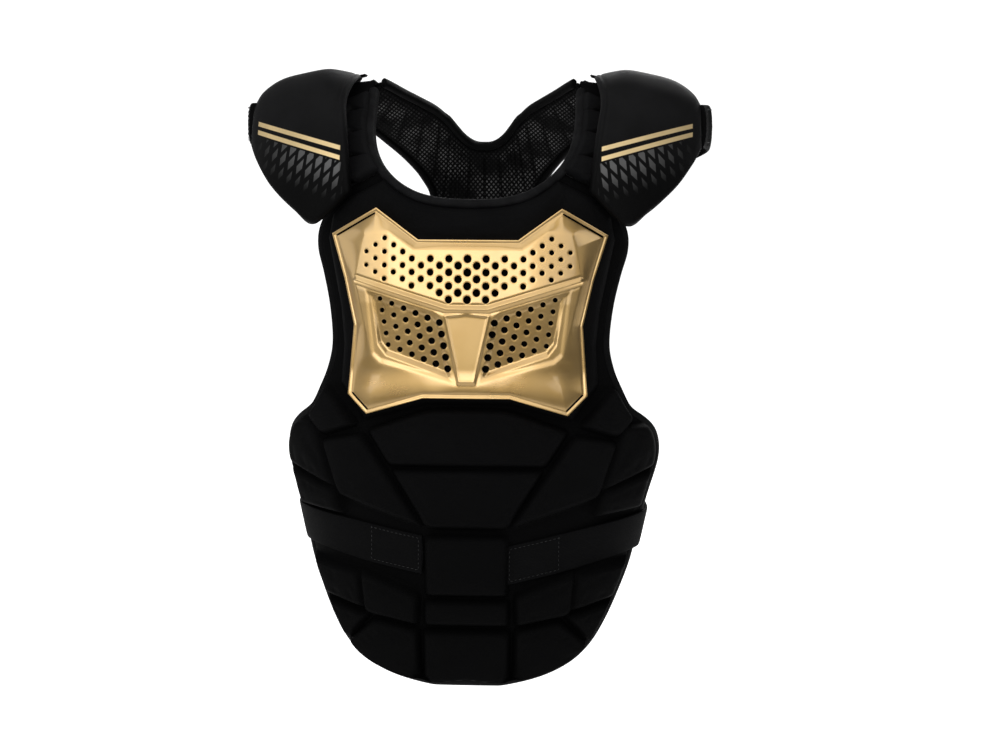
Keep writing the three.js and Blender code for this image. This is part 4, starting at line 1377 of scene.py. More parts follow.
@dataclass
class ChestPlate:
    """The pierced gold plate: a rim, facets that slope up to a raised field, a V rib and two stepped panels.

    All outlines are half outlines for x above -40; the other half mirrors them. A rise or reach in two numbers goes
    from the middle to the sides. lip is the height of the flared lower edge and the depths it starts and ends at,
    panel_steps the outer step, the inner step and how far the floor sinks, hole_rows each row's number and most
    column, and a slot its edge's two ends and its length.
    """

    form: WornForm
    seat: float = 20.8
    wall: float = 2.5
    turned_rim: float = 4.5
    inner_drop: float = 0.3
    rise: Duo = (1.8, 4.4)
    rise_reach: Duo = (28.0, 78.0)
    ridge_rise: float = 2.0
    ridge_reach: float = 66.0
    lip: Trio = (3.2, 262.0, 298.0)
    rim: float = 2.4
    outline: Pairs = (
        (-40, -140), (47.5, -140), (88.4, -110), (132, -135), (119, -177), (109, -221), (114, -287),
        (95.8, -305.5), (41, -289.5), (-40, -289.5),
    )
    field_outline: Pairs = (
        (-40, -149.7), (52.5, -149.7), (76.7, -132.3), (98.6, -136), (108.2, -177), (91.1, -249.4),
        (82.9, -256.5), (10.2, -276.5), (-40, -276.5),
    )
    rib_line: Pairs = ((106.5, -178.6), (19.5, -205.4), (-40, -205.4))
    rib_half: float = 2.1
    rib_height: float = 1.5
    rib_groove: Trio = (0.35, 2.0, 1.2)
    column_bead: Duo = (0.7, 1.2)
    column_share: float = 0.15
    panel_bead: Trio = (0.3, 0.8, 1.0)
    rim_bead: Trio = (0.5, 1.0, 1.2)
    rim_groove: Trio = (-0.5, 3.4, 1.0)
    clear_of_rim: Duo = (8, 14)
    facet_power: float = 1.5
    dish: Duo = (0.2, 0.9)
    column: Pairs = ((-40, -206), (20.6, -211.5), (7.6, -275), (-40, -275))
    panel: Pairs = (
        (97.5, -187.5), (90.3, -248.5), (82.5, -255.6), (13.6, -273.4), (23.8, -215.5), (31, -207.6),
    )
    panel_inner: Pairs = (
        (90.8, -193.2), (83.2, -238), (76, -247.3), (17.6, -267.8), (27.2, -217.5), (33.5, -211.2),
    )
    panel_steps: Trio = (0.5, 0.5, 3.2)
    panel_sinks: Duo = (10, 66)
    side_rows: Pairs = ((0, 114), (0.3, 109), (0.5, 119), (1, 132))
    lower_edge: Pairs = ((0, -289.5), (0.36, -289.5), (0.84, -305.5), (1, -287))
    ridge: Pairs = ((0, -205), (0.13, -205), (1, -177))
    upper_edge: Pairs = ((0, -140), (0.36, -140), (0.67, -110), (1, -135))
    hole_pitch: Duo = (17.6, 6.4)
    hole_top: float = -158.0
    hole_rows: tuple[tuple[int, float], ...] = (
        (-3, 4.5), (-2, 5), (-1, 5.5), (0, 5), (1, 5.5), (2, 5), (3, 4.5), (4, 3), (5, 1.5), (6, 1),
    )
    hole_inner: Pairs = ((-3, 74), (-2, 65), (-1, 57), (0, -1))
    panel_holes: Pairs = ((26, -218), (11.4, 4.4), (-2, -10.9))
    panel_hole_grid: tuple[int, int] = (6, 5)
    hole_radii: Duo = (3.85, 1.8)
    hole_fade: float = 110.0
    slot_size: Duo = (4.0, 1.9)
    slots: tuple[tuple[float, float, float, float, float], ...] = (
        (88.4, -110, 132, -135, 44), (114, -287, 95.8, -305.5, 22),
    )
    cut_depths: Duo = (-190, -70)
    corner: float = 42.0
    columns: int = 401
    rows: int = 201
    step: int = 4

    def place(self, u: Array, v: Array) -> tuple[Array, Array]:
        """(x, z) of a place on the plate: straight between its edges and its middle ridge."""
        x = u * table_value(self.side_rows, v)
        levels = (self.lower_edge, self.ridge, self.upper_edge)
        lower, ridge, upper = (table_value(level, np.abs(u)) for level in levels)
        below, above = lerp(lower, ridge, v * 2), lerp(ridge, upper, v * 2 - 1)
        return x, np.where(v <= 0.5, below, above)

    def hole_places(self) -> Array:
        """(x, z, radius) of every hole: a lattice in the upper field and slanting columns in the panels."""
        places = []
        pitch, drop = self.hole_pitch
        most_columns, slack = 8, 0.1
        for row, most in self.hole_rows:
            shift = 0.5 if row % 2 else 0.0
            across = (np.arange(-most_columns, most_columns + 1) + shift) * pitch
            outer = np.abs(across) < (most + slack) * pitch
            inner = np.abs(across) > table_value(self.hole_inner, row)
            x = across[outer & inner]
            places.append(np.stack([x, np.full(len(x), self.hole_top - row * drop)], axis=-1))
        start, across, down = (np.array(pair) for pair in self.panel_holes)
        column, row = np.meshgrid(*(np.arange(count) for count in self.panel_hole_grid))
        group = start + column.reshape(-1, 1) * across + row.reshape(-1, 1) * down
        found = np.concatenate(places + [group, group * [-1, 1]])
        share = np.minimum(np.abs(found[:, :1]) / self.hole_fade, 1)
        return np.concatenate([found, lerp(self.hole_radii[0], self.hole_radii[1], share)], axis=1)

    def relief(self, x: Array, z: Array, fine: bool) -> Array:
        """Height of the plate over its rim.

        Args:
            x: places across.
            z: places in height.
            fine: whether to add the rib, the beads and grooves beside it and at the rim, and the dished holes.

        Returns:
            The height in millimetres.
        """
        reach = np.abs(x)
        inside = polygon_depth(reach, z, self.outline)
        beyond = np.maximum(-polygon_depth(reach, z, self.field_outline), 0)
        rib = line_distance(reach, z, self.rib_line)
        outer = polygon_depth(reach, z, self.panel)
        inner = polygon_depth(reach, z, self.panel_inner)
        column = polygon_depth(reach, z, self.column)
        crest = table_value(self.rib_line[1::-1], reach)
        level = smooth(column, -1.5, 1.5)
        fall = lerp(np.minimum(np.abs(z - crest) / self.ridge_reach, 1), self.column_share, level)
        climb = np.maximum(inside - self.rim, 0)
        share = climb / np.maximum(climb + beyond, TINY)
        rise = lerp(*self.rise, smooth(reach, *self.rise_reach))
        height = (rise + self.ridge_rise * (1 - fall)) * (1 - (1 - share) ** self.facet_power)
        height += self.lip[0] * smooth(-z, *self.lip[1:])
        first, second, sunk = self.panel_steps
        floor = second + sunk * ramp(crest - z, *self.panel_sinks)
        height -= first * smooth(outer, -1.0, 1.0) + floor * smooth(inner, -2.0, 2.0)
        if not fine:
            return height
        clear = smooth(inside, *self.clear_of_rim)
        depth, beside, width = self.rib_groove
        height += self.rib_height * (1 - smooth(rib, self.rib_half - 1.5, self.rib_half + 1.1))
        height -= depth * bell(rib, self.rib_half + beside, width) * clear
        height += self.column_bead[0] * bell(column, 0, self.column_bead[1]) * clear
        beads = ((outer, self.panel_bead), (inner, self.panel_bead))
        for place, (size, *shape) in (*beads, (inside, self.rim_bead), (inside, self.rim_groove)):
            height += size * bell(place, *shape)
        holes = self.hole_places()
        gap = np.hypot(x[..., None] - holes[:, 0], z[..., None] - holes[:, 1]) - holes[:, 2]
        dish_depth, dish_reach = self.dish
        return height - dish_depth * (1 - ramp(gap.min(axis=-1), 0, dish_reach)) ** 2

    def cutters(self) -> Surface:
        """Round bars through every hole and flat bars through the four slots, from front to back."""
        rings = []
        for x, z, radius in self.hole_places():
            rings.append(oval(2 * radius, 2 * radius, power=2.0, count=28, middle=(x, z)))
        inset, width = self.slot_size
        for x0, z0, x1, z1, length in self.slots:
            along = unit(np.array([x1 - x0, z1 - z0]))
            inward = np.array([along[1], -along[0]])
            shape = oval(length, width, power=8.0, count=36) @ np.array([along, inward])
            ring = shape + [(x0 + x1) / 2, (z0 + z1) / 2] + inward * inset
            rings += [ring, ring * [-1, 1]]
        path = np.array([(0.0, depth, 0.0) for depth in self.cut_depths])
        side, up = np.tile([1.0, 0.0, 0.0], (2, 1)), np.tile([0.0, 0.0, 1.0], (2, 1))
        return Surface.joined([sweep(path, side, up, ring) for ring in rings])

    def build(self, finishes: Finishes) -> None:
        """Builds the plate as a closed shell and cuts its holes and slots through."""
        u, v = parameter_grid(self.columns, self.rows, -1.0)
        x, z = self.place(u, v)
        lift = self.seat + self.wall + self.turned_rim
        outer = self.form.front(x, z, lift + blurred(self.relief(x, z, fine=True)))
        x, z = x[:: self.step, :: self.step], z[:: self.step, :: self.step]
        inner = self.form.front(x, z, self.seat + self.relief(x, z, fine=False) - self.inner_drop)
        piece = closed_wall(outer, inner).piece("gold_plate", [finishes.gold])
        cutter = self.cutters().piece("plate_cutter", [finishes.gold])
        cut = piece.modifiers.new("pierce", "BOOLEAN")
        cut.operation = "DIFFERENCE"
        cut.solver = "EXACT"
        cut.object = cutter
        graph = bpy.context.evaluated_depsgraph_get()
        pierced = bpy.data.meshes.new_from_object(piece.evaluated_get(graph))
        piece.modifiers.clear()
        piece.data = pierced
        bpy.data.objects.remove(cutter, do_unlink=True)
        pierced.shade_smooth()
        pierced.set_sharp_from_angle(angle=math.radians(self.corner))
        settle(piece, ["chest_plate"])


@dataclass
class ShoulderStrap:
    """A ribbed foam strap over each shoulder, with wedge cuts that open towards the cap."""

    form: WornForm
    neck: NeckOpening
    root_gap: float = 0.7
    top_outer: float = 129
    below_crest: float = 6
    foam: float = 15.0
    bulge: Duo = (1.8, 0.1)
    cuts: tuple[float, ...] = (0.08, 0.347, 0.598, 0.837)
    cut_opens: Duo = (0.25, 1.0)
    cut_width: Duo = (0.01, 0.033)
    cut_depth: Duo = (1.0, 10.0)
    cut_power: float = 2.2
    ribbed: Duo = (0.9, 0.95)
    tongue: float = 6.0
    rim_radius: float = 5.5
    columns: int = 61
    rows: int = 221

    def sheet(self, u: Array, v: Array) -> Array:
        """The inner face: u from the neck outwards, v from the root up to the shoulder."""
        root = lerp(self.neck.root_inner, self.neck.root_outer, u)
        start = self.neck.top(root) + self.root_gap
        outer = lerp(self.neck.root_outer, self.top_outer, v)
        end = self.form.shoulder_line(lerp(self.neck.half_width, self.top_outer, u)) - self.below_crest
        z = lerp(start, end, v)
        lowest = self.neck.top(np.asarray(self.neck.root_inner, float))
        return self.form.front(lerp(self.neck.width(np.maximum(z, lowest)), outer, u), z)

    def thickness(self, u: Array, v: Array) -> tuple[Array, Array]:
        """Foam swells between the cuts; a cut is a level bell across the strap that widens and deepens outwards.

        Args:
            u: places from the neck outwards.
            v: places from the root upwards.

        Returns:
            The thickness in millimetres, and how deep in a cut each place lies.
        """
        opening = smooth(u, *self.cut_opens)
        height = self.sheet(u, v)[..., 2]
        low, high = height[0, -1], height[-1, -1]
        nearest = np.min([np.abs((height - low) / (high - low) - cut) for cut in self.cuts], axis=0)
        cut = np.exp(-((nearest / lerp(*self.cut_width, opening)) ** self.cut_power))
        bulge, reach = self.bulge
        swell = self.foam + bulge * smooth(nearest, 0.0, reach) - lerp(*self.cut_depth, opening) * cut
        ribbed = 1 - smooth(v, *self.ribbed)
        return lerp(np.full(u.shape, self.tongue), swell, ribbed), cut * opening * ribbed

    def build(self, finishes: Finishes) -> None:
        """Builds both straps."""
        u, v = parameter_grid(self.columns, self.rows)
        inner = self.sheet(u, v)
        out = normals_of(self.sheet, u, v)
        # Painted shade: the cuts are darkened by how deep in a cut each place lies.
        height, recess_shade = self.thickness(u, v)
        height += 0.25 * unevenness(inner, shortest=14, longest=40, seed=11)
        surface = soft_wall(inner + out * height[..., None], inner, self.rim_radius)
        Twins("ribbed_strap", "shoulder_strap", Slot.FOAM_CLOTH, 0.85).build(surface, [finishes.strap], recess_shade)


@dataclass
class NeckRoll:
    """The rolled edge of the neck, from one shoulder round the neckline to the other."""

    front: QuiltedFront
    strap: ShoulderStrap
    strap_points: int = 90
    line_points: int = 140
    line_reach: float = 0.62
    root_margin: float = 3.0
    passes: int = 14

    def build(self, finishes: Finishes) -> None:
        """Builds the roll: an oval carried along the strap's inner edge and the neckline."""
        v = np.linspace(1, 0, self.strap_points)
        rising = self.strap.sheet(np.zeros(v.shape), v)
        rising_out = normals_of(self.strap.sheet, np.full(v.shape, INSIDE), np.clip(v, INSIDE, 1 - INSIDE))
        u = np.linspace(-self.line_reach, self.line_reach, self.line_points)
        top = np.full(u.shape, float(self.front.span[1]))
        line, line_out = self.front.sheet(u, top), self.front.out(u, top - 0.5)
        kept = np.abs(line[:, 0]) < self.front.neck.root_inner - self.root_margin
        flip = np.array([-1, 1, 1])
        path = np.concatenate([rising * flip, line[kept], rising[::-1]])
        out = np.concatenate([rising_out * flip, line_out[kept], rising_out[::-1]])
        path, out = eased(path, self.passes), unit(eased(out, self.passes))
        side = -unit(np.cross(along_of(path), out))
        profile = oval(width=9.6, height=12.6, power=2.5, count=22, middle=(0.3, 5.4))
        piece = sweep(path, side, out, profile, blunt=3.0).piece("neck_roll", [finishes.tape])
        settle(piece, ["neck_binding"])


@dataclass
class ShoulderCap:
    """A domed cap on each shoulder: arched sections from the neck side outwards, with a thin lappet at the crest.

    Each section runs from its front hem over its crest to its back hem on two quarter arches. The tables hold
    points of the crest and the hems, from the neck side outwards.
    """

    crest: Triples = (
        (128, -8, 23), (147, -8, 26.5), (172, -8, 22.5), (196, -8, 15), (213, -8, 3), (222, -8, -12),
    )
    front: Triples = (
        (113, -110, -95), (149, -111, -126), (173, -100, -113), (197, -81, -91), (213, -58, -69), (222, -38, -52),
    )
    back: Triples = (
        (118, 58, -20), (142, 62, -22), (167, 57, -20), (191, 42, -14), (209, 24, -10), (220, 8, -16),
    )
    thickness: float = 12.0
    rim_radius: float = 6.0
    seam: Trio = (1.0, 6.5, 1.3)
    lappet: float = 13.0
    lappet_drop: float = 2.0
    lappet_thickness: float = 5.0
    lappet_span: Duo = (0.24, 0.48)
    lappet_reach: float = 0.16
    columns: int = 161
    rows: int = 101

    def sheet(self, u: Array, v: Array) -> Array:
        """The outer face: u from the front hem over the crest to the back hem, v outwards."""
        place = np.clip(v, 0, 1) * (len(self.crest) - 1)
        crest = spline(np.array(self.crest), place)
        ahead = (u < 0.5)[..., None]
        hem = np.where(ahead, spline(np.array(self.front), place), spline(np.array(self.back), place))
        turn = np.where(u < 0.5, u, 1 - u) * np.pi
        forward, upward = np.cos(turn), np.maximum(np.sin(turn), 0)
        near = self.near_crest(u, v)
        x = lerp(hem[..., 0], crest[..., 0], upward) - self.lappet * near
        y = lerp(crest[..., 1], hem[..., 1], forward)
        z = lerp(hem[..., 2], crest[..., 2], upward) - self.lappet_drop * near
        return np.stack([x, y, z], axis=-1)

    def near_crest(self, u: Array, v: Array) -> Array:
        """How much a place belongs to the lappet, the part of the inner edge that reaches out at the crest."""
        return smooth(np.minimum(u, 1 - u), *self.lappet_span) * (1 - smooth(v, 0.0, self.lappet_reach))

    def build(self, finishes: Finishes) -> None:
        """Builds both caps."""
        u, v = parameter_grid(self.columns, self.rows)
        outer = self.sheet(u, v)
        inward = normals_of(self.sheet, np.clip(u, INSIDE, 1 - INSIDE), np.clip(v, INSIDE, 1 - INSIDE))
        rim = RimDistance.of(outer)
        depth, place, width = self.seam
        sink = depth * bell(rim.first_row, place, width)
        sink -= 0.5 * unevenness(outer, shortest=25, longest=90, seed=3) * smooth(rim.nearest, 4, 20)
        face = outer + inward * sink[..., None]
        thickness = lerp(self.thickness, self.lappet_thickness, self.near_crest(u, v))
        surface = soft_wall(face, outer + inward * thickness[..., None], self.rim_radius, (0, 1, 0))
        Twins("domed_cap", "shoulder_cap", Slot.FOAM_CLOTH, 0.9).build(surface, [finishes.cap, finishes.lining])


@dataclass
class BackYoke:
    """The meshed yoke across the back, with a tail down to the waist and tape along both edges."""

    form: WornForm
    upper: Pairs = (
        (0, -50.5), (8, -50), (16, -47), (24, -41), (31, -33), (38, -24.5), (48, -15.5), (61, -8.5), (75, -1.5),
        (87, 5), (96, 9.5),
    )
    lower: Pairs = (
        (0, -394), (30, -394), (43, -386), (44, -260), (45, -155), (49.8, -101), (59, -79.5), (76.5, -58.7),
        (95, -42), (114, -25.5), (133, -9),
    )
    thickness: float = 9.0
    channel: float = 29.0
    channel_width: float = 3.0
    crown: float = 2.2
    channel_depth: float = 2.4
    rim_radius: float = 4.5
    columns: int = 221
    rows: int = 141
    tape_points: int = 320

    @staticmethod
    def edge(table: Pairs, u: Array) -> Array:
        """(x, z) along one edge, on a smooth curve through the table and its mirror image."""
        half = np.array(table, float)
        whole = np.concatenate([(half * [-1, 1])[:0:-1], half])
        return spline(whole, (np.clip(u, -1, 1) + 1) * (len(half) - 1))

    def sheet(self, u: Array, v: Array) -> Array:
        """The inner face: u from shoulder to shoulder, v from the lower to the upper edge."""
        spot = lerp(self.edge(self.lower, u), self.edge(self.upper, u), v[..., None])
        return self.form.back(spot[..., 0], spot[..., 1])

    def build(self, finishes: Finishes) -> None:
        """Builds the padded yoke: shallow sewn channels on its inner face, plain cloth on its back."""
        u, v = parameter_grid(self.columns, self.rows, -1.0)
        face = self.sheet(u, v)
        ahead = normals_of(self.sheet, u * (1 - INSIDE), np.clip(v, INSIDE, 1 - INSIDE))
        distance = RimDistance.of(face)
        rim, middle = distance.nearest, distance.first_column[len(face) // 2]
        along = np.abs(middle - middle[len(middle) // 2])
        half = self.channel / 2
        channels = bell((along + half) % self.channel, half, self.channel_width) * smooth(rim, 2, 8)
        slack = 0.5 * unevenness(face, shortest=12, longest=45, seed=21)
        swell = smooth(rim, 0, 14) * (self.crown - self.channel_depth * channels + slack)
        inner = face + ahead * swell[..., None]
        # Painted shade: the foam under the mesh is darkened in the channels and along the rim.
        recess_shade = np.maximum(channels, 1 - smooth(rim, 3, 13))
        surface = soft_wall(inner, face - ahead * self.thickness, self.rim_radius, (0, 1, 1))
        piece = surface.piece("mesh_yoke", [finishes.mesh, finishes.cloth], recess_shade=recess_shade)
        settle(piece, ["back_yoke"])

    def build_tape(self, finishes: Finishes) -> None:
        """Builds the tape along the upper and the lower edge."""
        u = np.linspace(-1, 1, self.tape_points)
        profile = oval(7.0, self.thickness + 2.2, power=2.6, count=18, middle=(2.3, self.thickness / 2))
        for word, at, way in (("upper", 1.0, 1), ("lower", 0.0, -1)):
            v = np.full(u.shape, at)
            path = self.sheet(u, v)
            behind = -normals_of(self.sheet, u * (1 - INSIDE), np.clip(v, 2 * INSIDE, 1 - 2 * INSIDE))
            path, behind = eased(path, passes=8), unit(eased(behind, passes=8))
            side = unit(np.cross(along_of(path), behind)) * way
            bar = sweep(path, side, behind, profile, blunt=2.0)
            piece = bar.piece(f"yoke_tape_{word}", [finishes.yoke_tape])
            settle(piece, [f"yoke_binding_{word}"])


@dataclass
class ShoulderBand:
    """The band over each shoulder, from the strap's tongue to the yoke, and the loop that ties the cap to it."""

    strap: ShoulderStrap
    yoke: BackYoke
    inner: float = 101
    outer: float = 138
    thickness: float = 4.0
    clearance: float = 0.9
    under_cap: float = 8.8
    rise: float = 3.5
    cap_edge: float = 128.0
    leans: tuple[float, ...] = (-0.8, -0.7, -0.4, 0.1, 0.6, 0.7)
    rim_radius: float = 1.6
    columns: int = 31
    rows: int = 71
    loop: tuple[float, float, float, float] = (111, 135, -12, 6)
    loop_height: float = 18.2
    loop_curl: Duo = (1.6, 1.2)
    loop_thickness: float = 2.4
    loop_radius: float = 1.2
    loop_columns: int = 25
    loop_rows: int = 21

    def crest(self, x: Array) -> Array:
        """Height of the band's underside over the shoulder: it passes under the cap and rises to the neck."""
        return self.under_cap + self.rise * smooth(self.cap_edge - x, 0, self.outer - self.inner)

    def stations(self, u: Array) -> Array:
        """The underside at six stations, from the tongue over the crest to the yoke."""
        lift = self.strap.tongue + self.clearance
        x = lerp(self.inner, self.outer, u)
        down = lerp(0.85, 0.1, u)
        rows = []
        for v in (0.94, 0.998):
            at = np.full(u.shape, v)
            near = np.clip(u, INSIDE, 1 - INSIDE)
            rows.append(self.strap.sheet(u, at) + normals_of(self.strap.sheet, near, at - INSIDE) * lift)
        rows += [np.stack([x, np.full(u.shape, y), self.crest(x)], axis=-1) for y in (-10.0, 3.0)]
        for place in (0.998, 0.9):
            at = np.full(u.shape, place)
            back = normals_of(self.yoke.sheet, at - INSIDE, down) * (self.yoke.thickness + self.clearance)
            rows.append(self.yoke.sheet(at, down) - back)
        return np.stack(rows)

    def build(self, finishes: Finishes) -> None:
        """Builds both bands."""
        u = np.linspace(0, 1, self.columns)
        rows = np.linspace(0, len(self.leans) - 1, self.rows)
        under = spline(self.stations(u), rows)
        lean = spline(np.array(self.leans)[:, None], rows)[:, 0]
        up = np.stack([np.zeros_like(lean), lean, np.sqrt(1 - lean**2)], axis=-1)[:, None]
        surface = soft_wall(under + up * self.thickness, under, self.rim_radius)
        Twins("shoulder_band", "shoulder_link", Slot.FABRIC).build(surface, [finishes.web])

    def build_loops(self, finishes: Finishes) -> None:
        """Builds the short elastic loops that hold the caps to the bands."""
        inner, outer, front, back = self.loop
        u, v = parameter_grid(self.loop_columns, self.loop_rows)
        x = lerp(inner, outer, u)
        curl, droop = self.loop_curl
        z = self.loop_height + curl * (1 - u) ** 4 - droop * u
        under = np.stack([x, lerp(front, back, v), z], axis=-1)
        surface = soft_wall(under + [0, 0, self.loop_thickness], under, self.loop_radius)
        Twins("cap_loop", "cap_tab", Slot.ELASTIC).build(surface, [finishes.web])


@dataclass
class Stitches:
    """Rows of sewing stitches: short spindles of thread laid end to end on a line."""

    length: float = 3.0
    pitch: float = 4.1
    width: float = 0.62
    lift: float = 0.12
    dip: float = 0.3
    stations: int = 5
    sides: int = 6

    def row(self, path: Array, out: Array) -> Surface:
        """One row of stitches.

        Args:
            path: points along the line.
            out: unit vectors out of the cloth there.

        Returns:
            The stitches as one surface, each a spindle that dips into the cloth at its ends.
        """
        count = max(int(lengths_along(path)[-1] / self.pitch), 2)
        middle = evenly(path, count)
        along = along_of(middle)
        share, given = np.linspace(0, 1, count), np.linspace(0, 1, len(out))
        up = unit(np.stack([np.interp(share, given, out[:, axis]) for axis in range(3)], axis=-1))
        side = unit(np.cross(along, up))
        station = np.linspace(-1, 1, self.stations)[:, None]
        turn = np.linspace(0, 2 * np.pi, self.sides, endpoint=False)
        full = np.sqrt(np.maximum(1 - station**2, 0.02)) * self.width / 2
        forward = np.repeat(station * self.length / 2, self.sides, axis=1)
        upward = full * np.sin(turn) + self.lift - self.dip * station**2
        spindle = np.stack([forward, full * np.cos(turn), upward], axis=-1).reshape(-1, 3)
        frame = np.stack([along, side, up], axis=1)
        points = middle[:, None] + np.einsum("pk,nkc->npc", spindle, frame)
        quads = grid_quads(self.stations, self.sides, wrap=True)
        around = np.arange(self.sides)
        ends = np.stack([around[::-1], around + len(spindle) - self.sides])
        shift = (np.arange(count) * len(spindle))[:, None, None]
        faces = [(quads + shift).reshape(-1, 4), (ends + shift).reshape(-1, self.sides)]
        return Surface(points.reshape(-1, 3), faces, [np.zeros(f.shape + (2,)) for f in faces]).facing_out()


@dataclass
class ArmBand:
    """The elastic round each upper arm, from the cap's outer rim round the back to the inside of its front."""

    route: Triples = (
        (224, -24, -29), (227, -6, -28), (231, 12, -28), (228, 38, -32), (208, 66, -42), (176, 81, -56),
        (144, 73, -74), (122, 42, -90), (117, 4, -98), (127, -32, -97), (149, -64, -93), (172, -80, -90),
    )
    width: float = 42.0
    thickness: float = 2.5
    cup: float = 0.5
    end_pad: float = 7.0
    pad_ends: Duo = (0.08, 0.2)
    points: int = 200
    corner: float = 50.0
    sewn: tuple[int, int] = (3, 16)
    sewn_inset: float = 5.0

    def build(self, finishes: Finishes, stitches: Stitches) -> None:
        """Builds both bands: padded where they leave the cap, cupped round the arm, and sewn at the outer end."""
        path = through(self.route, self.points)
        pad = self.end_pad * (1 - smooth(np.linspace(0, 1, len(path)), *self.pad_ends))
        side = level_side(path)
        up = np.tile([0.0, 0.0, 1.0], (len(path), 1))
        profile = oval(self.thickness, self.width, power=5.0, count=40)
        profile[:, 0] -= self.cup * (profile[:, 1] / (self.width / 2)) ** 2
        swell = 1 + pad / self.thickness
        surface = sweep(path - side * pad[:, None] / 2, side, up, profile, 1.5, swell)
        span = slice(*self.sewn)
        face = path[span] + side[span] * (self.thickness / 2)
        reach = up[span] * (self.width / 2 - self.sewn_inset)
        box = np.concatenate([face + reach, face[::-1] - reach, face[:1] + reach[:1]])
        sewn = stitches.row(box, np.repeat(side[span][:1], len(box), axis=0))
        for wearer in Side:
            piece = surface.on(wearer).piece(f"arm_band_{wearer.word}", [finishes.web], self.corner)
            settle(piece, [f"arm_strap_{wearer.word}"])
            row = sewn.on(wearer).piece(f"arm_band_stitches_{wearer.word}", [finishes.thread])
            settle(row)


@dataclass
class WaistBand:
    """The elastic from each side of the belly round to the tail of the yoke, with a sewn end in front.

    lift and tuck are a distance and the shares of the way over which it grows, and sides holds route's sizes.
    """

    form: WornForm
    backing: float = 7.0
    width: float = 37.0
    thickness: float = 3.0
    clearance: float = 1.4
    back_end: float = 22.0
    lift: Trio = (4.2, 0.15, 0.3)
    tuck: Trio = (20.0, 0.36, 0.56)
    hug: Duo = (0.08, 0.3)
    lean: float = 0.22
    leans_from: Duo = (0.1, 0.3)
    leans_until: Duo = (0.45, 0.6)
    sewn: tuple[int, int] = (3, 34)
    sewn_inset: float = 3.2
    corner: float = 50.0
    points: int = 260
    passes: int = 60
    rounds: int = 4
    sides: dict[Side, tuple[float, float, float, float, float]] = field(
        default_factory=lambda: {Side.LEFT: (34, -452, 31, 0.2, 6.0), Side.RIGHT: (39, -442, 25, 0.175, 7.0)}
    )

    def route(self, end: float, height: float, rise: float, slope: float, hug: float) -> Array:
        """The band's middle line: on the form's section, drawn in where it passes the edge of the front.

        Args:
            end: x of the front end.
            height: z of the front end.
            rise: how far it rises to its widest place.
            slope: rise for each millimetre travelled, over its whole length.
            hug: how far it is drawn in at the side.

        Returns:
            Points from the front end to the back.
        """
        power = 2 / self.form.power
        share = np.linspace(0, 1, self.points)
        half = float(self.form.section(np.asarray(height, float))[0])
        first, last = (math.asin((reach / half) ** (1 / power)) for reach in (end, self.back_end))
        angle = lerp(first, math.pi - last, share)
        offset = self.backing + self.clearance + self.thickness / 2 + self.lift[0] * smooth(share, *self.lift[1:])
        drawn = self.tuck[0] * smooth(share, *self.tuck[1:]) + hug * smooth(share, *self.hug)
        z = np.full(share.shape, float(height))
        for _ in range(self.rounds):
            width, front, back = self.form.section(z)
            depth = np.where(np.cos(angle) > 0, -(front + offset), back + offset)
            x = (width - drawn + offset) * np.sin(angle) ** power
            y = depth * np.abs(np.cos(angle)) ** power
            travelled = lengths_along(np.stack([x, y], axis=-1))
            widest = int(np.argmax(x))
            ahead = height + rise * (x - end) / (x[widest] - end)
            behind = np.interp(travelled, travelled[[widest, -1]], [height + rise, height + slope * travelled[-1]])
            z = np.where(np.arange(len(x)) <= widest, ahead, behind)
        return evenly(eased(np.stack([x, y, z], axis=-1), self.passes), self.points)

    def build(self, finishes: Finishes, stitches: Stitches) -> None:
        """Builds both bands, each with a border of stitches round its front end."""
        for side, sizes in self.sides.items():
            path = self.route(*sizes)
            out = level_side(path)
            share = np.linspace(0, 1, len(path))
            lean = self.lean * smooth(share, *self.leans_from) * (1 - smooth(share, *self.leans_until))
            up = unit(np.array([0.0, 0.0, 1.0]) + out * lean[:, None])
            profile = oval(self.thickness, self.width, power=7.0, count=40)
            surface = sweep(path, out, up, profile, blunt=1.2)
            piece = surface.on(side).piece(f"waist_band_{side.word}", [finishes.web], self.corner)
            settle(piece, [f"waist_strap_{side.word}"])
            span, last = slice(*self.sewn), self.sewn[1]
            face = path[span] + out[span] * (self.thickness / 2)
            reach = up[span] * (self.width / 2 - self.sewn_inset)
            upper, lower = face + reach, face - reach
            border = np.concatenate([upper[::-1], lower, upper[-1:]])
            ways = np.concatenate([out[span][::-1], out[span], out[last : last + 1]])
            row = stitches.row(border, ways).on(side).piece(f"waist_band_stitches_{side.word}", [finishes.thread])
            settle(row)


@dataclass(frozen=True)
class Lamp:
    """A soft rectangular lamp: where it hangs, what it faces, its two sides and its power."""

    name: str
    place: Trio
    aim: Trio
    size: Duo
    watts: float

    def build(self) -> None:
        """Hangs the lamp."""
        data = bpy.data.lights.new(self.name, "AREA")
        data.shape = "RECTANGLE"
        data.size, data.size_y = self.size
        data.energy = self.watts
        way = Vector(self.aim) - Vector(self.place)
        pose = way.to_track_quat("-Z", "Y").to_matrix().to_4x4()
        pose.translation = Vector(self.place)
        linked(self.name, data).matrix_world = pose


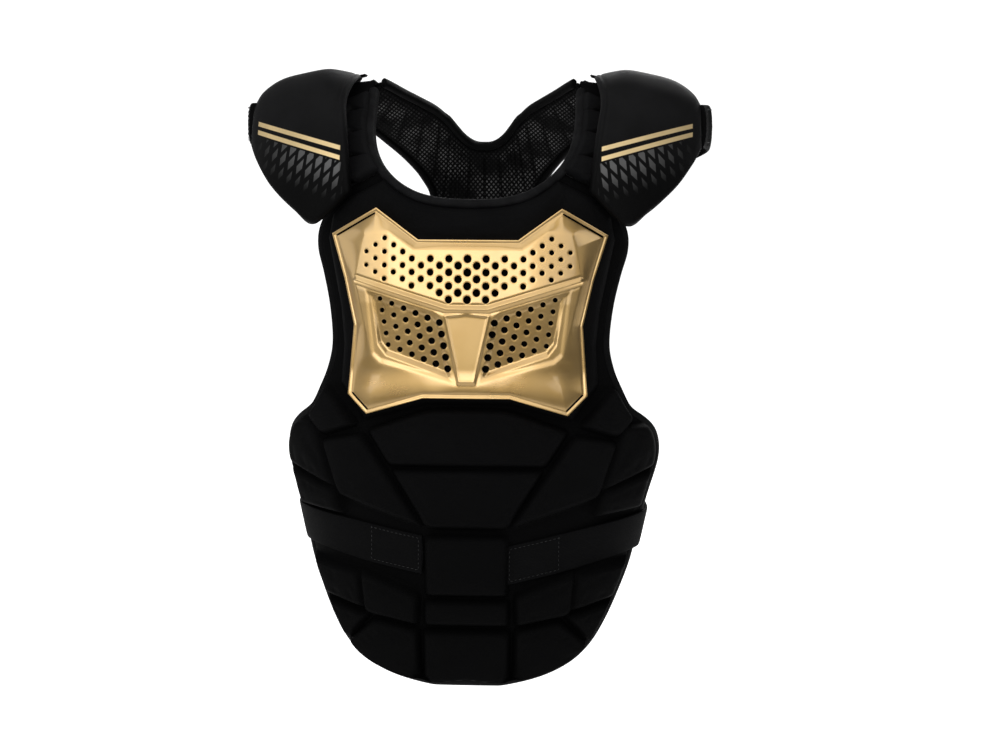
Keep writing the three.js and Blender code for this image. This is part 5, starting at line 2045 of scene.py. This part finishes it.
@dataclass
class Studio:
    """A pale floor, soft lamps and the camera at the photograph's angle."""

    azimuth: float = 3.5
    elevation: float = 4.0
    roll: float = 0.4
    distance: float = 2.4
    target: Trio = (0.0215, 0.0, -0.275)
    frame_width: float = 996.0
    focal_pixels: float = 2400.0
    sensor: float = 36.0
    floor_height: float = -0.64
    floor_across: Duo = (-6000, 6000)
    floor_along: Duo = (-6000, 5200)
    floor_points: int = 13
    sky_sides: Duo = (0.36, 0.13)
    sky_behind: float = 1.2
    lamps: tuple[Lamp, ...] = (
        Lamp("key_lamp", (-0.35, -3.0, 1.0), (0, 0, -0.2), (4.8, 2.2), 37),
        Lamp("glint_lamp", (-0.55, -2.9, 0.38), (0, 0, -0.2), (1.5, 0.5), 3.4),
        Lamp("right_lamp", (2.3, -1.7, 0.95), (0, 0, -0.15), (1.2, 1.0), 3.6),
        Lamp("left_lamp", (-2.6, -0.6, 0.3), (0, 0, -0.3), (1.4, 1.6), 3.5),
        Lamp("top_lamp", (0.0, -0.9, 2.1), (0, -0.1, -0.3), (3.0, 2.2), 17),
        Lamp("back_lamp", (0.5, 2.6, 1.3), (0, 0, -0.3), (1.6, 1.2), 22),
    )

    def build_camera(self) -> None:
        """Places the camera: a turn round the object, a lift above the horizon and a slight roll."""
        turn, lift, roll = (math.radians(a) for a in (self.azimuth, self.elevation, self.roll))
        back = Vector((math.sin(turn) * math.cos(lift), -math.cos(turn) * math.cos(lift), math.sin(lift)))
        level = Vector((math.cos(turn), math.sin(turn), 0.0))
        above = back.cross(level)
        right = level * math.cos(roll) + above * math.sin(roll)
        up = above * math.cos(roll) - level * math.sin(roll)
        data = bpy.data.cameras.new("camera")
        data.sensor_width = self.sensor
        data.lens = self.focal_pixels / self.frame_width * data.sensor_width
        pose = Matrix((right, up, back)).transposed().to_4x4()
        pose.translation = Vector(self.target) + back * self.distance
        camera = linked("camera", data)
        camera.matrix_world = pose
        bpy.context.scene.camera = camera

    def build_floor(self) -> None:
        """Lays a wide pale floor with painted shade in front and a painted pool of light behind, so it runs into the
        backdrop.
        """
        x, y = np.meshgrid(*(np.linspace(*span, self.floor_points) for span in (self.floor_across, self.floor_along)))
        grid = np.stack([x, y, np.full(x.shape, self.floor_height / MM)], axis=-1)
        quads = grid_quads(self.floor_points, self.floor_points)
        graph = Graph("pale_floor")
        cloud = graph.noise(1.5, 2.0)
        x, y, _ = graph.place()
        # Painted light: the floor glows behind the object and faintly round it, though no lamp is there.
        behind = y.between(-0.5, -0.08) * (abs(x) - y * 0.35).between(2.1, 1.0)
        pool = behind.at_least((x * x + y * y).between(2.5, 0.5) * 0.15)
        # Painted shade: the floor is darker towards the camera, which darkens its reflections in the plate.
        shade = y.between(-2.3, -0.9)
        surface = {
            "Base Color": graph.mix(shade * (0.96 + cloud * 0.04), grey(0.15, 1.0), grey(0.72, 1.0)),
            "Roughness": 0.9,
            "Emission Color": graph.mix(pool, grey(0.0, 1.0), grey(1.1, 1.0)),
            "Emission Strength": 1.0,
        }
        material = graph.finish(surface, cloud, 0.0001)
        floor = Surface(grid.reshape(-1, 3), [quads], [np.zeros(quads.shape + (2,))])
        floor.piece("studio_floor", [material])

    def build_world(self) -> None:
        """Sets plain light all round: white behind the object, pale on the left and dim on the right."""
        graph = Graph("studio", world=True)
        x, y, _ = graph.parts(graph.value("ShaderNodeTexCoord", "Generated", {}, {}))
        left, right = self.sky_sides
        strength = x.between(0.4, -0.5) * (left - right) + right + y.between(0.82, 0.94) * self.sky_behind
        sky = graph.value("ShaderNodeBackground", 0, {}, {"Strength": strength})
        graph.node("ShaderNodeOutputWorld", {}, {"Surface": sky})
        bpy.context.scene.world = graph.owner

    def build(self) -> None:
        """Builds the whole studio."""
        self.build_camera()
        self.build_floor()
        self.build_world()
        for lamp in self.lamps:
            lamp.build()
        bpy.context.scene.view_settings.view_transform = "Standard"


def main() -> None:
    """Builds the protector piece by piece, then the studio."""
    logging.basicConfig(level=logging.INFO, format="%(name)s: %(message)s")
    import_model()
    Studio().build()
    finishes = Finishes()
    form, neck, stitches = WornForm(), NeckOpening(), Stitches()
    front, plate = QuiltedFront(form, neck), ChestPlate(form)
    strap, yoke = ShoulderStrap(form, neck), BackYoke(form)
    band = ShoulderBand(strap, yoke)
    front.build(finishes, plate)
    front.build_edge(finishes)
    plate.build(finishes)
    strap.build(finishes)
    NeckRoll(front, strap).build(finishes)
    ShoulderCap().build(finishes)
    yoke.build(finishes)
    yoke.build_tape(finishes)
    band.build(finishes)
    band.build_loops(finishes)
    ArmBand().build(finishes, stitches)
    WaistBand(form).build(finishes, stitches)


if __name__ == "__main__":
    main()
